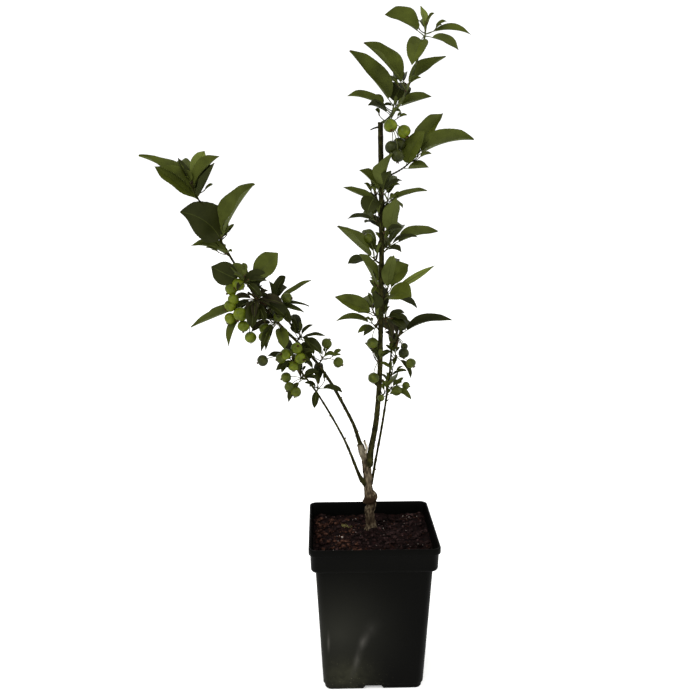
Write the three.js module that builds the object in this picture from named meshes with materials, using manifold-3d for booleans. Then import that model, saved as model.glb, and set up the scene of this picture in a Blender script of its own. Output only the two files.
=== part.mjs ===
// Potted crab apple: a young tree of four stems from one short trunk, in fruit, in a square black pot.
// Millimetres, +Z up. The origin is on the ground under the middle of the pot, and -Y is the front.
import * as THREE from 'three';
import { mergeVertices } from 'three/addons/utils/BufferGeometryUtils.js';
import Module from 'manifold-3d';

// Clear space between neighbouring solids, the smallest shared volume that counts as touching,
// and how far a face may move when needless edges are taken out
const GAP = 0.3;
const TOUCH = 1e-4;
const TIDY = 0.04;

// Square pot, rim to foot
const POT_HEIGHT = 221.5;
const RIM_SIDE = 181.5;
const RIM_DEPTH = 9;
const RIM_EDGE = 0.8;
const COLLAR_TOP_SIDE = 177;
const COLLAR_FOOT_SIDE = 175.5;
const COLLAR_FOOT = 186.5;
const COLLAR_ROUND = 2.5;
const BODY_TOP_SIDE = 163;
const BODY_FOOT_SIDE = 143;
const FOOT_ROUND = 7;
const FOOT_TUCK = 5.4;
const WALL = 2;
const FLOOR_TOP = 9;
const CORNER_RADIUS = 11;
const NOTCH_WIDTH = 31.5;
const NOTCH_TOP_WIDTH = 23;
const NOTCH_HEIGHT = 5.5;
const NOTCH_REACH = 40;
const DRAIN_RADIUS = 5;
const DRAIN_INSET = 48;

// Compost, heaped up a little to the foot of the trunk and rising by SOIL_TILT towards the back and right
const SOIL_EDGE = 200.5;
const SOIL_TOP = 207.7;
const SOIL_TILT = 0.0265;
const SOIL_RINGS = 5;
const SOIL_FLAT_RADIUS = 13;
const SOIL_HEAP_POWER = 1.6;
const SOIL_ROUGHNESS = 1.6;
const SOIL_LUMP = 15;

// Trunk and limbs: points that the bark's middle line runs through, and the radius at each
const limbs = {
  trunk: {
    points: [[0, 15, 208], [0, 15, 215], [-2, 15, 233], [0, 15, 252], [-4, 15, 270], [-7, 14, 309],
      [-15, 13, 339]],
    radii: [10, 7.8, 6.7, 9.4, 6.4, 6.4, 4.6],
    sides: 12, steps: 16, bark: '#362e24',
  },
  leader: {
    points: [[-5, 14, 307], [-1, 14, 330], [6.3, 12, 371], [11, 10, 435], [12, 7, 521], [12, 3, 633],
      [9, -2, 789]],
    radii: [4.4, 4.3, 4, 3.6, 3.5, 3.5, 3.6],
    from: 'trunk', sides: 8, steps: 12, bark: '#2f301d',
  },
  left_bough: {
    points: [[-15, 13, 338], [-32, 7, 383], [-76, -8, 462], [-147, -26, 544], [-198, -42, 629],
      [-222, -52, 682]],
    radii: [2.6, 2.4, 2.1, 1.8, 1.5, 1.2],
    from: 'trunk', sides: 7, steps: 12, bark: '#2f301d',
  },
  low_stem: {
    points: [[-10, 13, 280], [-18, 10, 294], [-40, 2, 351], [-74, -15, 417], [-101, -28, 459]],
    radii: [3.6, 2.6, 1.6, 1.4, 1.2],
    from: 'trunk', sides: 6, steps: 10, bark: '#33301f',
  },
  right_stem: {
    points: [[0.8, 16, 277], [5, 20, 302], [18, 30, 372], [27, 38, 435], [30, 42, 474]],
    radii: [2.2, 1.8, 1.7, 1.5, 1.3],
    from: 'trunk', sides: 6, steps: 10, bark: '#33301f',
  },
  top_shoot: {
    points: [[11, -3, 788], [21, -6, 795], [41, -12, 825], [63, -24, 891]],
    radii: [2, 1.8, 1.5, 1.1],
    from: 'leader', sides: 6, steps: 7, bark: '#3f4424',
  },
};

// Small dead snag in the fork, part of the trunk
const snag = {
  points: [[-9, 12, 324], [-7, 9, 334], [-10.6, 8, 345]],
  radii: [2.2, 1.5, 2.1],
  sides: 5, steps: 3,
};

// Spurs: at is how far up the limb each stands, and bare how much of its stem is without leaves. A stem,
// leaf or fruit is given by its heading (0 right, 90 away, 180 left, 270 towards the front), its rise above
// level and its length, a fruit also by its radius. A leaf may say how far it faces the front, how wide it
// and how long its stalk is for its length, how much it bows and folds, and how full it is at the foot, less
// being fuller; behind is how many leaves the rule adds on the far side.
const masses = [
  { name: 'shoot_foot', limb: 'top_shoot', at: 0.31, stem: [60, 50, 22], behind: 1,
    leaves: [[215, 17, 40, { wide: 0.6 }], [195, 19, 65, { face: 50, bow: 24, wide: 0.4 }],
      [300, -4, 21, { wide: 0.4 }], [60, 42, 56, { bow: 30, wide: 0.75, fold: 10 }],
      [335, 14, 55, { face: 52, bow: 2, wide: 0.56 }],
      [170, 50, 93, { face: 41, bow: 4, wide: 0.52, fold: 42, stalk: 0.12 }]] },
  { name: 'shoot_fruit', limb: 'top_shoot', at: 0.17, stem: [300, -10, 8], behind: 0,
    leaves: [],
    fruits: [[280, -26, 11, 9.2], [340, -31, 24, 8.8], [20, -60, 32, 8], [320, -80, 33, 8],
      [310, -68, 47, 8]] },
  { name: 'shoot_middle', limb: 'top_shoot', at: 0.66, stem: [80, 65, 13], behind: 2,
    leaves: [[180, 46, 80, { face: 38, bow: 10, wide: 0.6, stalk: 0.14 }],
      [350, 34, 63, { face: 46, bow: 5, wide: 0.5, stalk: 0.08 }]] },
  { name: 'shoot_tip', limb: 'top_shoot', at: 1, stem: [60, 70, 9], behind: 1,
    leaves: [[190, 25, 59, { face: 55, bow: 14, wide: 0.8, fold: 40, stalk: 0.2 }],
      [322, -23, 54, { face: 42, bow: 12, wide: 0.46, stalk: 0.2 }],
      [240, -46, 57, { wide: 0.66, fold: 28, face: 40, full: 0.7 }],
      [0, 0, 59, { face: 46, bow: 24, wide: 0.34 }], [40, 65, 24, { wide: 0.3 }],
      [130, 75, 35, { wide: 0.5, face: 0, fold: 15 }]] },
  { name: 'leader_spur_1', limb: 'leader', at: 0.925, stem: [345, 30, 51], behind: 2,
    leaves: [[340, 2, 36, { bow: -2, wide: 0.8, face: 25 }],
      [335, 60, 51, { wide: 0.6, face: 80, fold: 12, stalk: 0.06 }],
      [25, 52, 83, { face: 46, wide: 0.5, bow: 8 }],
      [345, 17, 84, { face: 43, bow: 22, wide: 0.54, stalk: 0.16 }]] },
  { name: 'leader_spur_2', limb: 'leader', at: 0.895, stem: [280, 45, 10], behind: 2,
    leaves: [[195, 47, 48, { face: 53, bow: 14, wide: 0.7 }],
      [290, 60, 63, { face: 100, wide: 0.82, bow: 22, fold: 32, full: 0.9 }],
      [300, 59, 37, { face: 0, wide: 0.7, fold: 20 }]] },
  { name: 'leader_spur_3', limb: 'leader', at: 0.885, stem: [185, 65, 17], behind: 1,
    leaves: [[180, 20, 49, { face: 38, bow: -8, wide: 0.4, stalk: 0.1 }],
      [240, -41, 36, { wide: 1, fold: 10, full: 0.7 }]] },
  { name: 'leader_spur_4', limb: 'leader', at: 0.88, stem: [345, 55, 15], behind: 1,
    leaves: [[340, 18, 60, { face: 44, bow: 18, wide: 0.3 }], [50, -16, 38, { wide: 0.4 }]] },
  { name: 'leader_spur_5', limb: 'leader', at: 0.835, stem: [290, 45, 11], behind: 1,
    leaves: [[330, 19, 29]] },
  { name: 'leader_spur_6', limb: 'leader', at: 0.855, stem: [170, 45, 9], behind: 2,
    leaves: [[165, 5, 42, { bow: 28, wide: 0.32 }]] },
  { name: 'leader_spur_7', limb: 'leader', at: 0.79, stem: [190, 35, 13], behind: 2,
    leaves: [[165, -7, 41, { wide: 0.8, face: -30, fold: 10 }],
      [200, 40, 71, { face: 30, bow: -4, wide: 0.56, fold: 42, stalk: 0.1 }]],
    fruits: [[150, 71, 29]] },
  { name: 'leader_spur_8', limb: 'leader', at: 0.81, stem: [355, 45, 15], behind: 2,
    leaves: [[300, 0, 37], [325, 20, 51, { face: 54, wide: 0.26 }],
      [350, 18, 71, { face: 36, bow: 14, wide: 0.52 }],
      [300, 76, 68, { face: 0, wide: 0.62, fold: 15, bow: 12, stalk: 0.3, full: 0.9 }]] },
  { name: 'leader_spur_9', limb: 'leader', at: 0.705, stem: [330, 65, 23], behind: 2,
    leaves: [[305, 10, 58, { face: 80, wide: 0.75, fold: 15 }], [25, -20, 54, { wide: 0.5 }],
      [355, 32, 79, { wide: 0.16, bow: 0, face: 70, fold: 12 }],
      [20, 49, 50, { wide: 0.8, fold: 20, full: 0.9 }],
      [290, 68, 54, { face: 0, wide: 0.42, fold: 15, stalk: 0.1 }]] },
  { name: 'leader_spur_10', limb: 'leader', at: 0.735, stem: [240, 35, 13], behind: 1,
    leaves: [[215, 55, 57, { face: 60, bow: 0, wide: 0.64, fold: 30, stalk: 0.06 }]] },
  { name: 'leader_spur_11', limb: 'leader', at: 0.67, stem: [190, 40, 13], behind: 2,
    leaves: [[220, 75, 36, { wide: 0.9, face: 0 }],
      [185, 24, 60, { bow: 2, wide: 0.52, fold: 26, stalk: 0.1 }]] },
  { name: 'leader_spur_12', limb: 'leader', at: 0.64, stem: [185, 50, 10], behind: 1,
    leaves: [[225, -15, 30, { bow: 28, wide: 0.5 }], [200, -13, 30],
      [190, 9, 58, { face: 30, bow: 26, wide: 0.36 }]],
    fruits: [[215, -73, 24, 8.2]] },
  { name: 'leader_spur_13', limb: 'leader', at: 0.665, stem: [0, 30, 8], behind: 1,
    leaves: [[5, -10, 35, { wide: 0.5 }], [340, -28, 33, { wide: 0.9, face: 20, fold: 10 }]] },
  { name: 'leader_spur_14', limb: 'leader', at: 0.54, stem: [230, 60, 10], behind: 1,
    leaves: [[210, 55, 22, { wide: 0.7 }]],
    fruits: [[215, -70, 23]] },
  { name: 'leader_spur_15', limb: 'leader', at: 0.43, stem: [320, 45, 11], behind: 1,
    leaves: [],
    fruits: [[250, -10, 8, 5]] },
  { name: 'right_stem_tip', limb: 'right_stem', at: 1, stem: [10, 60, 19], behind: 2,
    leaves: [[150, 38, 23, { wide: 0.9, face: 0 }],
      [350, 19, 82, { face: 37, bow: 26, wide: 0.36, fold: 45 }]],
    fruits: [[25, -52, 18, 5.5], [330, -66, 24, 8]] },
  { name: 'right_stem_spur_1', limb: 'right_stem', at: 0.875, stem: [355, 40, 10], behind: 1,
    leaves: [[350, -55, 38, { wide: 0.4 }]],
    fruits: [[335, -18, 24]] },
  { name: 'right_stem_spur_2', limb: 'right_stem', at: 0.74, stem: [340, 50, 6], behind: 0,
    leaves: [[20, 12, 14], [230, 44, 26]] },
  { name: 'right_stem_spur_3', limb: 'right_stem', at: 0.65, stem: [350, 40, 7], behind: 1,
    leaves: [[340, -22, 34], [40, 14, 24]],
    fruits: [[300, 0, 14], [355, 12, 22, 6]] },
  { name: 'left_bough_tip', limb: 'left_bough', at: 1, stem: [200, 65, 31], behind: 2, bare: 0.12,
    leaves: [[190, 38, 69, { wide: 0.6, bow: 2, fold: 30, stalk: 0.04 }],
      [330, 56, 52, { wide: 0.6, stalk: 0.04, bow: -6 }],
      [180, 34, 85, { face: 34, wide: 0.34, fold: 40, stalk: 0.06 }],
      [335, 48, 58, { face: 60, wide: 0.56, stalk: 0.06 }], [165, 62, 42, { bow: 2, wide: 0.36 }],
      [60, 56, 50, { face: 90, fold: 15, wide: 0.52 }]] },
  { name: 'left_bough_spur_1', limb: 'left_bough', at: 0.81, stem: [262, 50, 9], behind: 1,
    leaves: [[205, 35, 66, { bow: 30, wide: 0.84, fold: 10, face: 80, full: 0.7, stalk: 0.03 }],
      [345, 56, 85, { face: 48, wide: 0.6, bow: 10, stalk: 0.12 }]] },
  { name: 'left_bough_spur_2', limb: 'left_bough', at: 0.765, stem: [240, 25, 8], behind: 0,
    leaves: [[195, 16, 49, { face: 37, bow: 20, wide: 0.46, full: 0.62, stalk: 0.05 }],
      [305, 12, 16]] },
  { name: 'left_bough_spur_3', limb: 'left_bough', at: 0.68, stem: [262, 10, 10], behind: 0,
    leaves: [[350, 43, 60, { bow: -4, face: 75, fold: 12, wide: 0.68, full: 1.1 }],
      [200, 48, 32, { wide: 0.9, fold: 15, stalk: 0.05 }],
      [350, 16, 32, { face: 80, fold: 10, wide: 0.7, stalk: 0.05 }],
      [190, 27, 49, { bow: -4, face: 85, fold: 12, wide: 0.84, full: 0.95 }]],
    fruits: [[215, -11, 10, 8.4], [190, -24, 20, 8.6], [210, -50, 27, 7.6]] },
  { name: 'left_bough_spur_4', limb: 'left_bough', at: 0.628, stem: [258, 8, 16], behind: 1,
    leaves: [[200, -56, 73, { face: 22, wide: 0.36 }], [188, -21, 95, { face: 29, bow: 2, wide: 0.3 }],
      [165, -18, 80, { face: 37, bow: 3, wide: 0.26 }], [345, -31, 54], [340, -5, 40],
      [160, -40, 40, { wide: 0.7 }], [262, -55, 42, { wide: 0.7 }]],
    fruits: [[190, -12, 34, 8], [212, -38, 28, 9.8], [185, -36, 41, 8], [210, -62, 38, 8],
      [230, -78, 50, 8]] },
  { name: 'left_bough_spur_5', limb: 'left_bough', at: 0.59, stem: [20, 50, 14], behind: 2,
    leaves: [[340, -4, 50, { wide: 0.26 }], [355, 2, 52, { face: 30, bow: 20, wide: 0.22 }],
      [0, 33, 65, { face: 32, bow: 5, wide: 0.26 }], [240, 76, 34], [320, -40, 40]],
    fruits: [[340, 22, 21]] },
  { name: 'left_bough_spur_6', limb: 'left_bough', at: 0.545, stem: [250, 25, 12], behind: 1,
    leaves: [[290, -48, 40, { wide: 0.66 }], [160, 15, 24], [215, -62, 40, { wide: 0.3 }],
      [330, -60, 34, { wide: 0.4 }], [250, -31, 61, { wide: 0.3 }]],
    fruits: [[215, -23, 19, 8.2], [240, -28, 33, 8], [290, 43, 13]] },
  { name: 'left_bough_spur_7', limb: 'left_bough', at: 0.485, stem: [20, 45, 9], behind: 1,
    leaves: [[330, -26, 40], [345, 8, 38, { wide: 0.24 }], [10, 43, 26, { wide: 0.4 }],
      [130, 35, 25, { face: 80, wide: 0.66 }], [310, -75, 38, { wide: 0.7 }]] },
  { name: 'left_bough_spur_8', limb: 'left_bough', at: 0.4, stem: [10, 55, 10], behind: 1,
    leaves: [[320, 15, 26]],
    fruits: [[350, -11, 23], [30, 70, 22]] },
  { name: 'low_stem_tip', limb: 'low_stem', at: 1, stem: [200, 65, 18], behind: 1,
    leaves: [[200, -8, 30, { wide: 0.6 }], [170, 11, 40, { wide: 0.4 }], [30, 40, 27]],
    fruits: [[190, 0, 43, 8], [200, 9, 19, 7.6], [250, -66, 9, 8], [215, 32, 16, 8], [310, 14, 13, 8],
      [290, 60, 19, 8]] },
  { name: 'low_stem_spur_1', limb: 'low_stem', at: 0.91, stem: [200, 10, 8], behind: 1,
    leaves: [[215, -50, 38, { wide: 0.4 }], [10, 20, 25, { wide: 0.7 }]],
    fruits: [[225, -56, 20], [200, -30, 20], [180, 5, 21]] },
  { name: 'low_stem_spur_2', limb: 'low_stem', at: 0.79, stem: [340, 70, 7], behind: 1,
    leaves: [[10, -11, 36], [160, 18, 20], [110, 82, 22]] },
];

// What every spur shares
const SPUR_RADIUS = 1.3;
const SPUR_TIP_RADIUS = 1.0;
const SPUR_BOW = -18;
const SPUR_COLLAR = 1.2;
const LONG_STEM = 25;
const LAST_LEAF = 0.96;
const PETIOLE_SHARE = 0.22;
const PETIOLE_LIMIT = 16;
const PETIOLE_RADIUS = 0.7;
const MIDRIB_TOP = 0.4;
const MIDRIB_UNDER = 1;
const BLADE_STATIONS = [0.15, 0.46, 0.79];
const BLADE_ROUND = 0.66;
const SHORT_LEAF = 47;
const SHORT_STATIONS = [0.22, 0.66];
const FRUIT_RADIUS = 7.7;
const FRUIT_SPREAD = 0.8;
const STALK_RADIUS = 0.7;
const STALK_BOW = 24;
const TURN_STEP = 9;
const TURN_TRIES = 9;

// How leaves differ: the least value of each draw and its spread. A level leaf bows more by LEAF_SAG. Turns
// are in degrees, and a leaf shorter than SHORT_LEAF has a simpler blade.
const LEAF_BOW = [9, 16];
const LEAF_SAG = 8;
const LEAF_WIDE = [0.46, 0.12];
const LEAF_FOLD = [34, 12];
const LEAF_FACE = [42, 12];
const LEAF_FULL = 0.84;
const LEAF_TWIST = [-18, 36];
const BEHIND_HEADING = [55, 70];
const BEHIND_RISE = [5, 45];
const BEHIND_LENGTH = [40, 22];

// Finishes
const potPlastic = { color: '#1f1f1a', roughness: 0.45, metalness: 0 };
const compost = { color: '#261812', roughness: 0.95, metalness: 0 };
const foliage = { color: '#49501f', roughness: 0.55, metalness: 0 };
const fruitGreen = { color: '#54601e', roughness: 0.4, metalness: 0 };

const wasm = await Module();
wasm.setup();

const radians = THREE.MathUtils.degToRad;
const lerp = THREE.MathUtils.lerp;

// Seeded draws, so that the plant is the same each time
function seeded(seed) {
  let state = seed;
  return () => {
    state = (state + 0x6d2b79f5) | 0;
    let mixed = Math.imul(state ^ (state >>> 15), 1 | state);
    mixed = (mixed + Math.imul(mixed ^ (mixed >>> 7), 61 | mixed)) ^ mixed;
    return ((mixed ^ (mixed >>> 14)) >>> 0) / 4294967296;
  };
}

function draw([least, spread], random) {
  return least + spread * random();
}

// Closed geometry to a solid that can be joined and cut, and back to a named mesh
function toSolid(geometry) {
  const bare = geometry.clone();
  bare.deleteAttribute('normal');
  bare.deleteAttribute('uv');
  const merged = mergeVertices(bare);
  const vertProperties = new Float32Array(merged.attributes.position.array);
  const triVerts = new Uint32Array(merged.index.array);
  return new wasm.Manifold(new wasm.Mesh({ numProp: 3, vertProperties, triVerts }));
}

function toMesh(name, solid, finish) {
  const data = solid.simplify(TIDY).getMesh();
  const geometry = new THREE.BufferGeometry();
  geometry.setAttribute('position', new THREE.BufferAttribute(new Float32Array(data.vertProperties), 3));
  geometry.setIndex(new THREE.BufferAttribute(new Uint32Array(data.triVerts), 1));
  geometry.computeVertexNormals();
  const mesh = new THREE.Mesh(geometry, new THREE.MeshStandardMaterial({ ...finish, flatShading: true }));
  mesh.name = name;
  return mesh;
}

function largest(solid) {
  return solid.decompose().sort((a, b) => b.volume() - a.volume())[0];
}

// Skin over rings of points that run anticlockwise seen from the last ring; a ring of one point is a tip
function loft(rings) {
  const position = [];
  const index = [];
  const first = [];
  for (const ring of rings) {
    first.push(position.length / 3);
    for (const point of ring) {
      position.push(point.x, point.y, point.z);
    }
  }
  for (let r = 0; r + 1 < rings.length; r += 1) {
    const count = Math.max(rings[r].length, rings[r + 1].length);
    for (let i = 0; i < count; i += 1) {
      const next = (i + 1) % count;
      const low = rings[r].length > 1;
      const high = rings[r + 1].length > 1;
      if (low) {
        index.push(first[r] + i, first[r] + next, first[r + 1] + (high ? next : 0));
      }
      if (high) {
        index.push(first[r] + (low ? i : 0), first[r + 1] + next, first[r + 1] + i);
      }
    }
  }
  const last = rings.length - 1;
  for (let i = 1; i + 1 < rings[0].length; i += 1) {
    index.push(first[0], first[0] + i + 1, first[0] + i);
  }
  for (let i = 1; i + 1 < rings[last].length; i += 1) {
    index.push(first[last], first[last] + i, first[last] + i + 1);
  }
  const geometry = new THREE.BufferGeometry();
  geometry.setAttribute('position', new THREE.Float32BufferAttribute(position, 3));
  geometry.setIndex(index);
  return geometry;
}

// Ring of a square with round corners, at one height
function squareRing(side, height, cornerRadius = CORNER_RADIUS) {
  const ring = [];
  const inner = side / 2 - cornerRadius;
  const sidePoints = 1;
  const cornerPoints = 3;
  for (let corner = 0; corner < 4; corner += 1) {
    const turn = corner * Math.PI / 2;
    const centre = new THREE.Vector2(inner, inner).rotateAround(new THREE.Vector2(), turn);
    for (let i = 0; i < cornerPoints; i += 1) {
      const angle = turn + i / (cornerPoints - 1) * Math.PI / 2;
      ring.push(new THREE.Vector3(
        centre.x + cornerRadius * Math.cos(angle), centre.y + cornerRadius * Math.sin(angle), height));
    }
    for (let i = 1; i <= sidePoints; i += 1) {
      const along = inner - 2 * inner * i / (sidePoints + 1);
      const point = new THREE.Vector2(along, side / 2).rotateAround(new THREE.Vector2(), turn);
      ring.push(new THREE.Vector3(point.x, point.y, height));
    }
  }
  return ring;
}

// Outer and inner side of the pot's body at a height
function bodySide(height) {
  return lerp(BODY_FOOT_SIDE, BODY_TOP_SIDE, (height - FOOT_ROUND) / (COLLAR_FOOT - 1 - FOOT_ROUND));
}

function pot() {
  const inside = COLLAR_FOOT_SIDE - 2 * WALL;
  const shell = loft([
    squareRing(BODY_FOOT_SIDE - FOOT_TUCK, 0),
    squareRing(BODY_FOOT_SIDE - FOOT_TUCK / 3, FOOT_ROUND * 0.45),
    squareRing(BODY_FOOT_SIDE, FOOT_ROUND),
    squareRing(BODY_TOP_SIDE, COLLAR_FOOT - 1),
    squareRing(COLLAR_FOOT_SIDE - 2 * COLLAR_ROUND, COLLAR_FOOT),
    squareRing(COLLAR_FOOT_SIDE, COLLAR_FOOT + COLLAR_ROUND),
    squareRing(COLLAR_TOP_SIDE, POT_HEIGHT - RIM_DEPTH - 1),
    squareRing(RIM_SIDE, POT_HEIGHT - RIM_DEPTH + 1),
    squareRing(RIM_SIDE, POT_HEIGHT - RIM_EDGE),
    squareRing(RIM_SIDE - 2 * RIM_EDGE, POT_HEIGHT),
    squareRing(RIM_SIDE - 2 * WALL, POT_HEIGHT),
    squareRing(COLLAR_TOP_SIDE - 2 * WALL, POT_HEIGHT - RIM_DEPTH),
    squareRing(inside, COLLAR_FOOT + 3),
    squareRing(bodySide(COLLAR_FOOT) - 2 * WALL, COLLAR_FOOT),
    squareRing(bodySide(FLOOR_TOP) - 2 * WALL, FLOOR_TOP),
  ]);
  let solid = toSolid(shell);
  const outline = new THREE.Shape([
    new THREE.Vector2(-NOTCH_WIDTH / 2, -1),
    new THREE.Vector2(NOTCH_WIDTH / 2, -1),
    new THREE.Vector2(NOTCH_TOP_WIDTH / 2, NOTCH_HEIGHT),
    new THREE.Vector2(-NOTCH_TOP_WIDTH / 2, NOTCH_HEIGHT),
  ]);
  for (let face = 0; face < 4; face += 1) {
    const notch = new THREE.ExtrudeGeometry(outline, { depth: NOTCH_REACH, bevelEnabled: false });
    notch.rotateX(Math.PI / 2).translate(0, NOTCH_REACH + 1 - BODY_FOOT_SIDE / 2, 0);
    notch.rotateZ(face * Math.PI / 2);
    const drain = new THREE.CylinderGeometry(DRAIN_RADIUS, DRAIN_RADIUS, FLOOR_TOP, 8);
    drain.rotateX(Math.PI / 2).translate(0, -DRAIN_INSET, FLOOR_TOP).rotateZ(face * Math.PI / 2);
    solid = solid.subtract(toSolid(notch)).subtract(toSolid(drain));
  }
  return toMesh('pot', solid, potPlastic);
}

function soil() {
  const [footX, footY] = limbs.trunk.points[0];
  const inset = 2 * (WALL + GAP);
  const edge = squareRing(COLLAR_FOOT_SIDE - inset, SOIL_EDGE);
  for (const point of edge) {
    point.z += SOIL_TILT * (point.x + point.y);
  }
  const rings = [
    squareRing(bodySide(FLOOR_TOP) - inset, FLOOR_TOP + GAP),
    squareRing(bodySide(COLLAR_FOOT) - inset, COLLAR_FOOT),
    squareRing(COLLAR_FOOT_SIDE - inset, COLLAR_FOOT + 3 + GAP),
    edge,
  ];
  for (let r = 1; r <= SOIL_RINGS; r += 1) {
    const inward = r / SOIL_RINGS;
    rings.push(edge.map((point) => {
      const around = Math.atan2(point.y, point.x);
      const x = lerp(point.x, footX + SOIL_FLAT_RADIUS * Math.cos(around), inward);
      const y = lerp(point.y, footY + SOIL_FLAT_RADIUS * Math.sin(around), inward);
      const lumps = inward < 1 ? SOIL_ROUGHNESS * Math.sin(x / SOIL_LUMP + 1) * Math.cos(y / SOIL_LUMP) : 0;
      const tilt = SOIL_TILT * (x + y) * (1 - inward);
      return new THREE.Vector3(x, y, lerp(SOIL_EDGE, SOIL_TOP, inward ** SOIL_HEAP_POWER) + tilt + lumps);
    }));
  }
  return toMesh('soil', toSolid(loft(rings)), compost);
}

function curveOf(points) {
  const places = points.map((point) => new THREE.Vector3(...point));
  return new THREE.CatmullRomCurve3(places, false, 'catmullrom', 0.5);
}

function radiusOf(limb, t) {
  const place = t * (limb.radii.length - 1);
  const low = Math.min(Math.floor(place), limb.radii.length - 2);
  return lerp(limb.radii[low], limb.radii[low + 1], place - low);
}

// Round bar along a limb's curve. A sleeve is the same bar, thicker and longer by the gap all round.
function bar(limb, sleeve = 0) {
  const curve = curveOf(limb.points);
  const across = new THREE.Vector3(1, 0, 0);
  const rings = [];
  for (let i = 0; i <= limb.steps; i += 1) {
    const t = i / limb.steps;
    const centre = curve.getPoint(t);
    const along = curve.getTangent(t);
    const outwards = (i === limb.steps ? 1 : 0) - (i === 0 ? 1 : 0);
    centre.addScaledVector(along, sleeve * outwards);
    across.addScaledVector(along, -across.dot(along)).normalize();
    const up = along.clone().cross(across);
    const radius = radiusOf(limb, t) + sleeve;
    const ring = [];
    for (let k = 0; k < limb.sides; k += 1) {
      const angle = 2 * Math.PI * k / limb.sides;
      const point = centre.clone();
      point.addScaledVector(across, radius * Math.cos(angle)).addScaledVector(up, radius * Math.sin(angle));
      ring.push(point);
    }
    rings.push(ring);
  }
  if (!limb.from && limb !== snag) {
    for (const point of rings[0]) {
      point.z = limb.points[0][2] - sleeve;
    }
  }
  return toSolid(loft(rings));
}

// Arc in the upright plane of its heading, from its foot to a tip at the given length
function arc(foot, heading, rise, length, bow) {
  const turn = radians(heading);
  const lean = radians(rise);
  const bend = radians(Math.abs(bow) < 1 ? 1 : bow);
  const run = length * bend / Math.sin(bend);
  const level = new THREE.Vector3(Math.cos(turn), Math.sin(turn), 0);
  const side = new THREE.Vector3(-Math.sin(turn), Math.cos(turn), 0);
  return (s) => {
    const slope = lean + bend * (1 - 2 * s);
    const out = run * (Math.sin(lean + bend) - Math.sin(slope)) / (2 * bend);
    const high = run * (Math.cos(slope) - Math.cos(lean + bend)) / (2 * bend);
    const centre = foot.clone().addScaledVector(level, out);
    centre.z += high;
    const along = level.clone().multiplyScalar(Math.cos(slope));
    along.z = Math.sin(slope);
    return { centre, along, side, normal: along.clone().cross(side) };
  };
}

// Thin round rod along an arc
function rod(path, radiusStart, radiusEnd, sides, steps) {
  const rings = [];
  for (let i = 0; i <= steps; i += 1) {
    const s = i / steps;
    const { centre, side, normal } = path(s);
    const radius = lerp(radiusStart, radiusEnd, s);
    const ring = [];
    for (let k = 0; k < sides; k += 1) {
      const angle = 2 * Math.PI * k / sides;
      const point = centre.clone();
      point.addScaledVector(side, radius * Math.cos(angle)).addScaledVector(normal, radius * Math.sin(angle));
      ring.push(point);
    }
    rings.push(ring);
  }
  return toSolid(loft(rings));
}

// One leaf: a stalk and a folded, bowed blade that tapers to its tip. Its upper face turns to the front.
function leaf(foot, heading, rise, length, form, random, grow = 0) {
  const drawn = {
    bow: draw(LEAF_BOW, random) + LEAF_SAG * Math.cos(radians(rise)),
    wide: draw(LEAF_WIDE, random),
    fold: draw(LEAF_FOLD, random),
    face: draw(LEAF_FACE, random),
    twist: draw(LEAF_TWIST, random),
    stalk: Math.min(PETIOLE_SHARE, PETIOLE_LIMIT / length),
    full: LEAF_FULL,
  };
  const { bow, wide, fold, face, twist, stalk, full } = { ...drawn, ...form };
  const path = arc(foot, heading, rise, length, bow);
  const rim = (v) => Math.sin(Math.PI * v ** full) ** BLADE_ROUND * wide * length * (1 - stalk) / 2;
  const slice = (s, half, lift, top, under) => {
    const { centre, side, normal } = path(s);
    const roll = radians(face * Math.cos(radians(heading)) + twist * (s - 0.5));
    const across = side.clone().multiplyScalar(Math.cos(roll)).addScaledVector(normal, Math.sin(roll));
    const upward = normal.clone().multiplyScalar(Math.cos(roll)).addScaledVector(side, -Math.sin(roll));
    const at = (x, z) => centre.clone().addScaledVector(across, x).addScaledVector(upward, z);
    return [at(half + grow, lift), at(0, top + grow), at(-half - grow, lift), at(0, -under - grow)];
  };
  const rings = [
    slice(0, PETIOLE_RADIUS, 0, PETIOLE_RADIUS, PETIOLE_RADIUS),
    slice(stalk, PETIOLE_RADIUS, 0, PETIOLE_RADIUS, PETIOLE_RADIUS),
  ];
  for (const v of length < SHORT_LEAF ? SHORT_STATIONS : BLADE_STATIONS) {
    const half = rim(v) * Math.cos(radians(fold));
    const lift = rim(v) * Math.sin(radians(fold));
    rings.push(slice(stalk + (1 - stalk) * v, half, lift, MIDRIB_TOP, MIDRIB_UNDER));
  }
  rings.push([path(1).centre]);
  return toSolid(loft(rings));
}

function fruit(centre, radius) {
  const ball = new THREE.SphereGeometry(radius, 7, 4);
  ball.rotateX(Math.PI / 2).scale(1, 1, 0.93).translate(centre.x, centre.y, centre.z);
  return toSolid(ball);
}

// Bare limbs, and a sleeve round each that nothing else comes into
const sleeves = {};
const limbSolids = {};
for (const [name, limb] of Object.entries(limbs)) {
  const whole = bar(limb);
  limbSolids[name] = limb.from ? largest(whole.subtract(sleeves[limb.from])) : whole.add(bar(snag));
  sleeves[name] = limb.from ? bar(limb, GAP) : bar(limb, GAP).add(bar(snag, GAP));
}

function isClear(piece, others) {
  return others.every((other) => piece.intersect(other).volume() < TOUCH);
}

// A piece is turned by small steps to one side and the other until it touches nothing, or left out
function place(make, heading, ownSleeve, others) {
  for (let attempt = 0; attempt < TURN_TRIES; attempt += 1) {
    const turn = TURN_STEP * Math.ceil(attempt / 2) * (attempt % 2 ? 1 : -1);
    const piece = make(heading + turn, 0);
    if (isClear(piece, [ownSleeve]) && isClear(make(heading + turn, GAP), others)) {
      return piece;
    }
  }
  return null;
}

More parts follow.
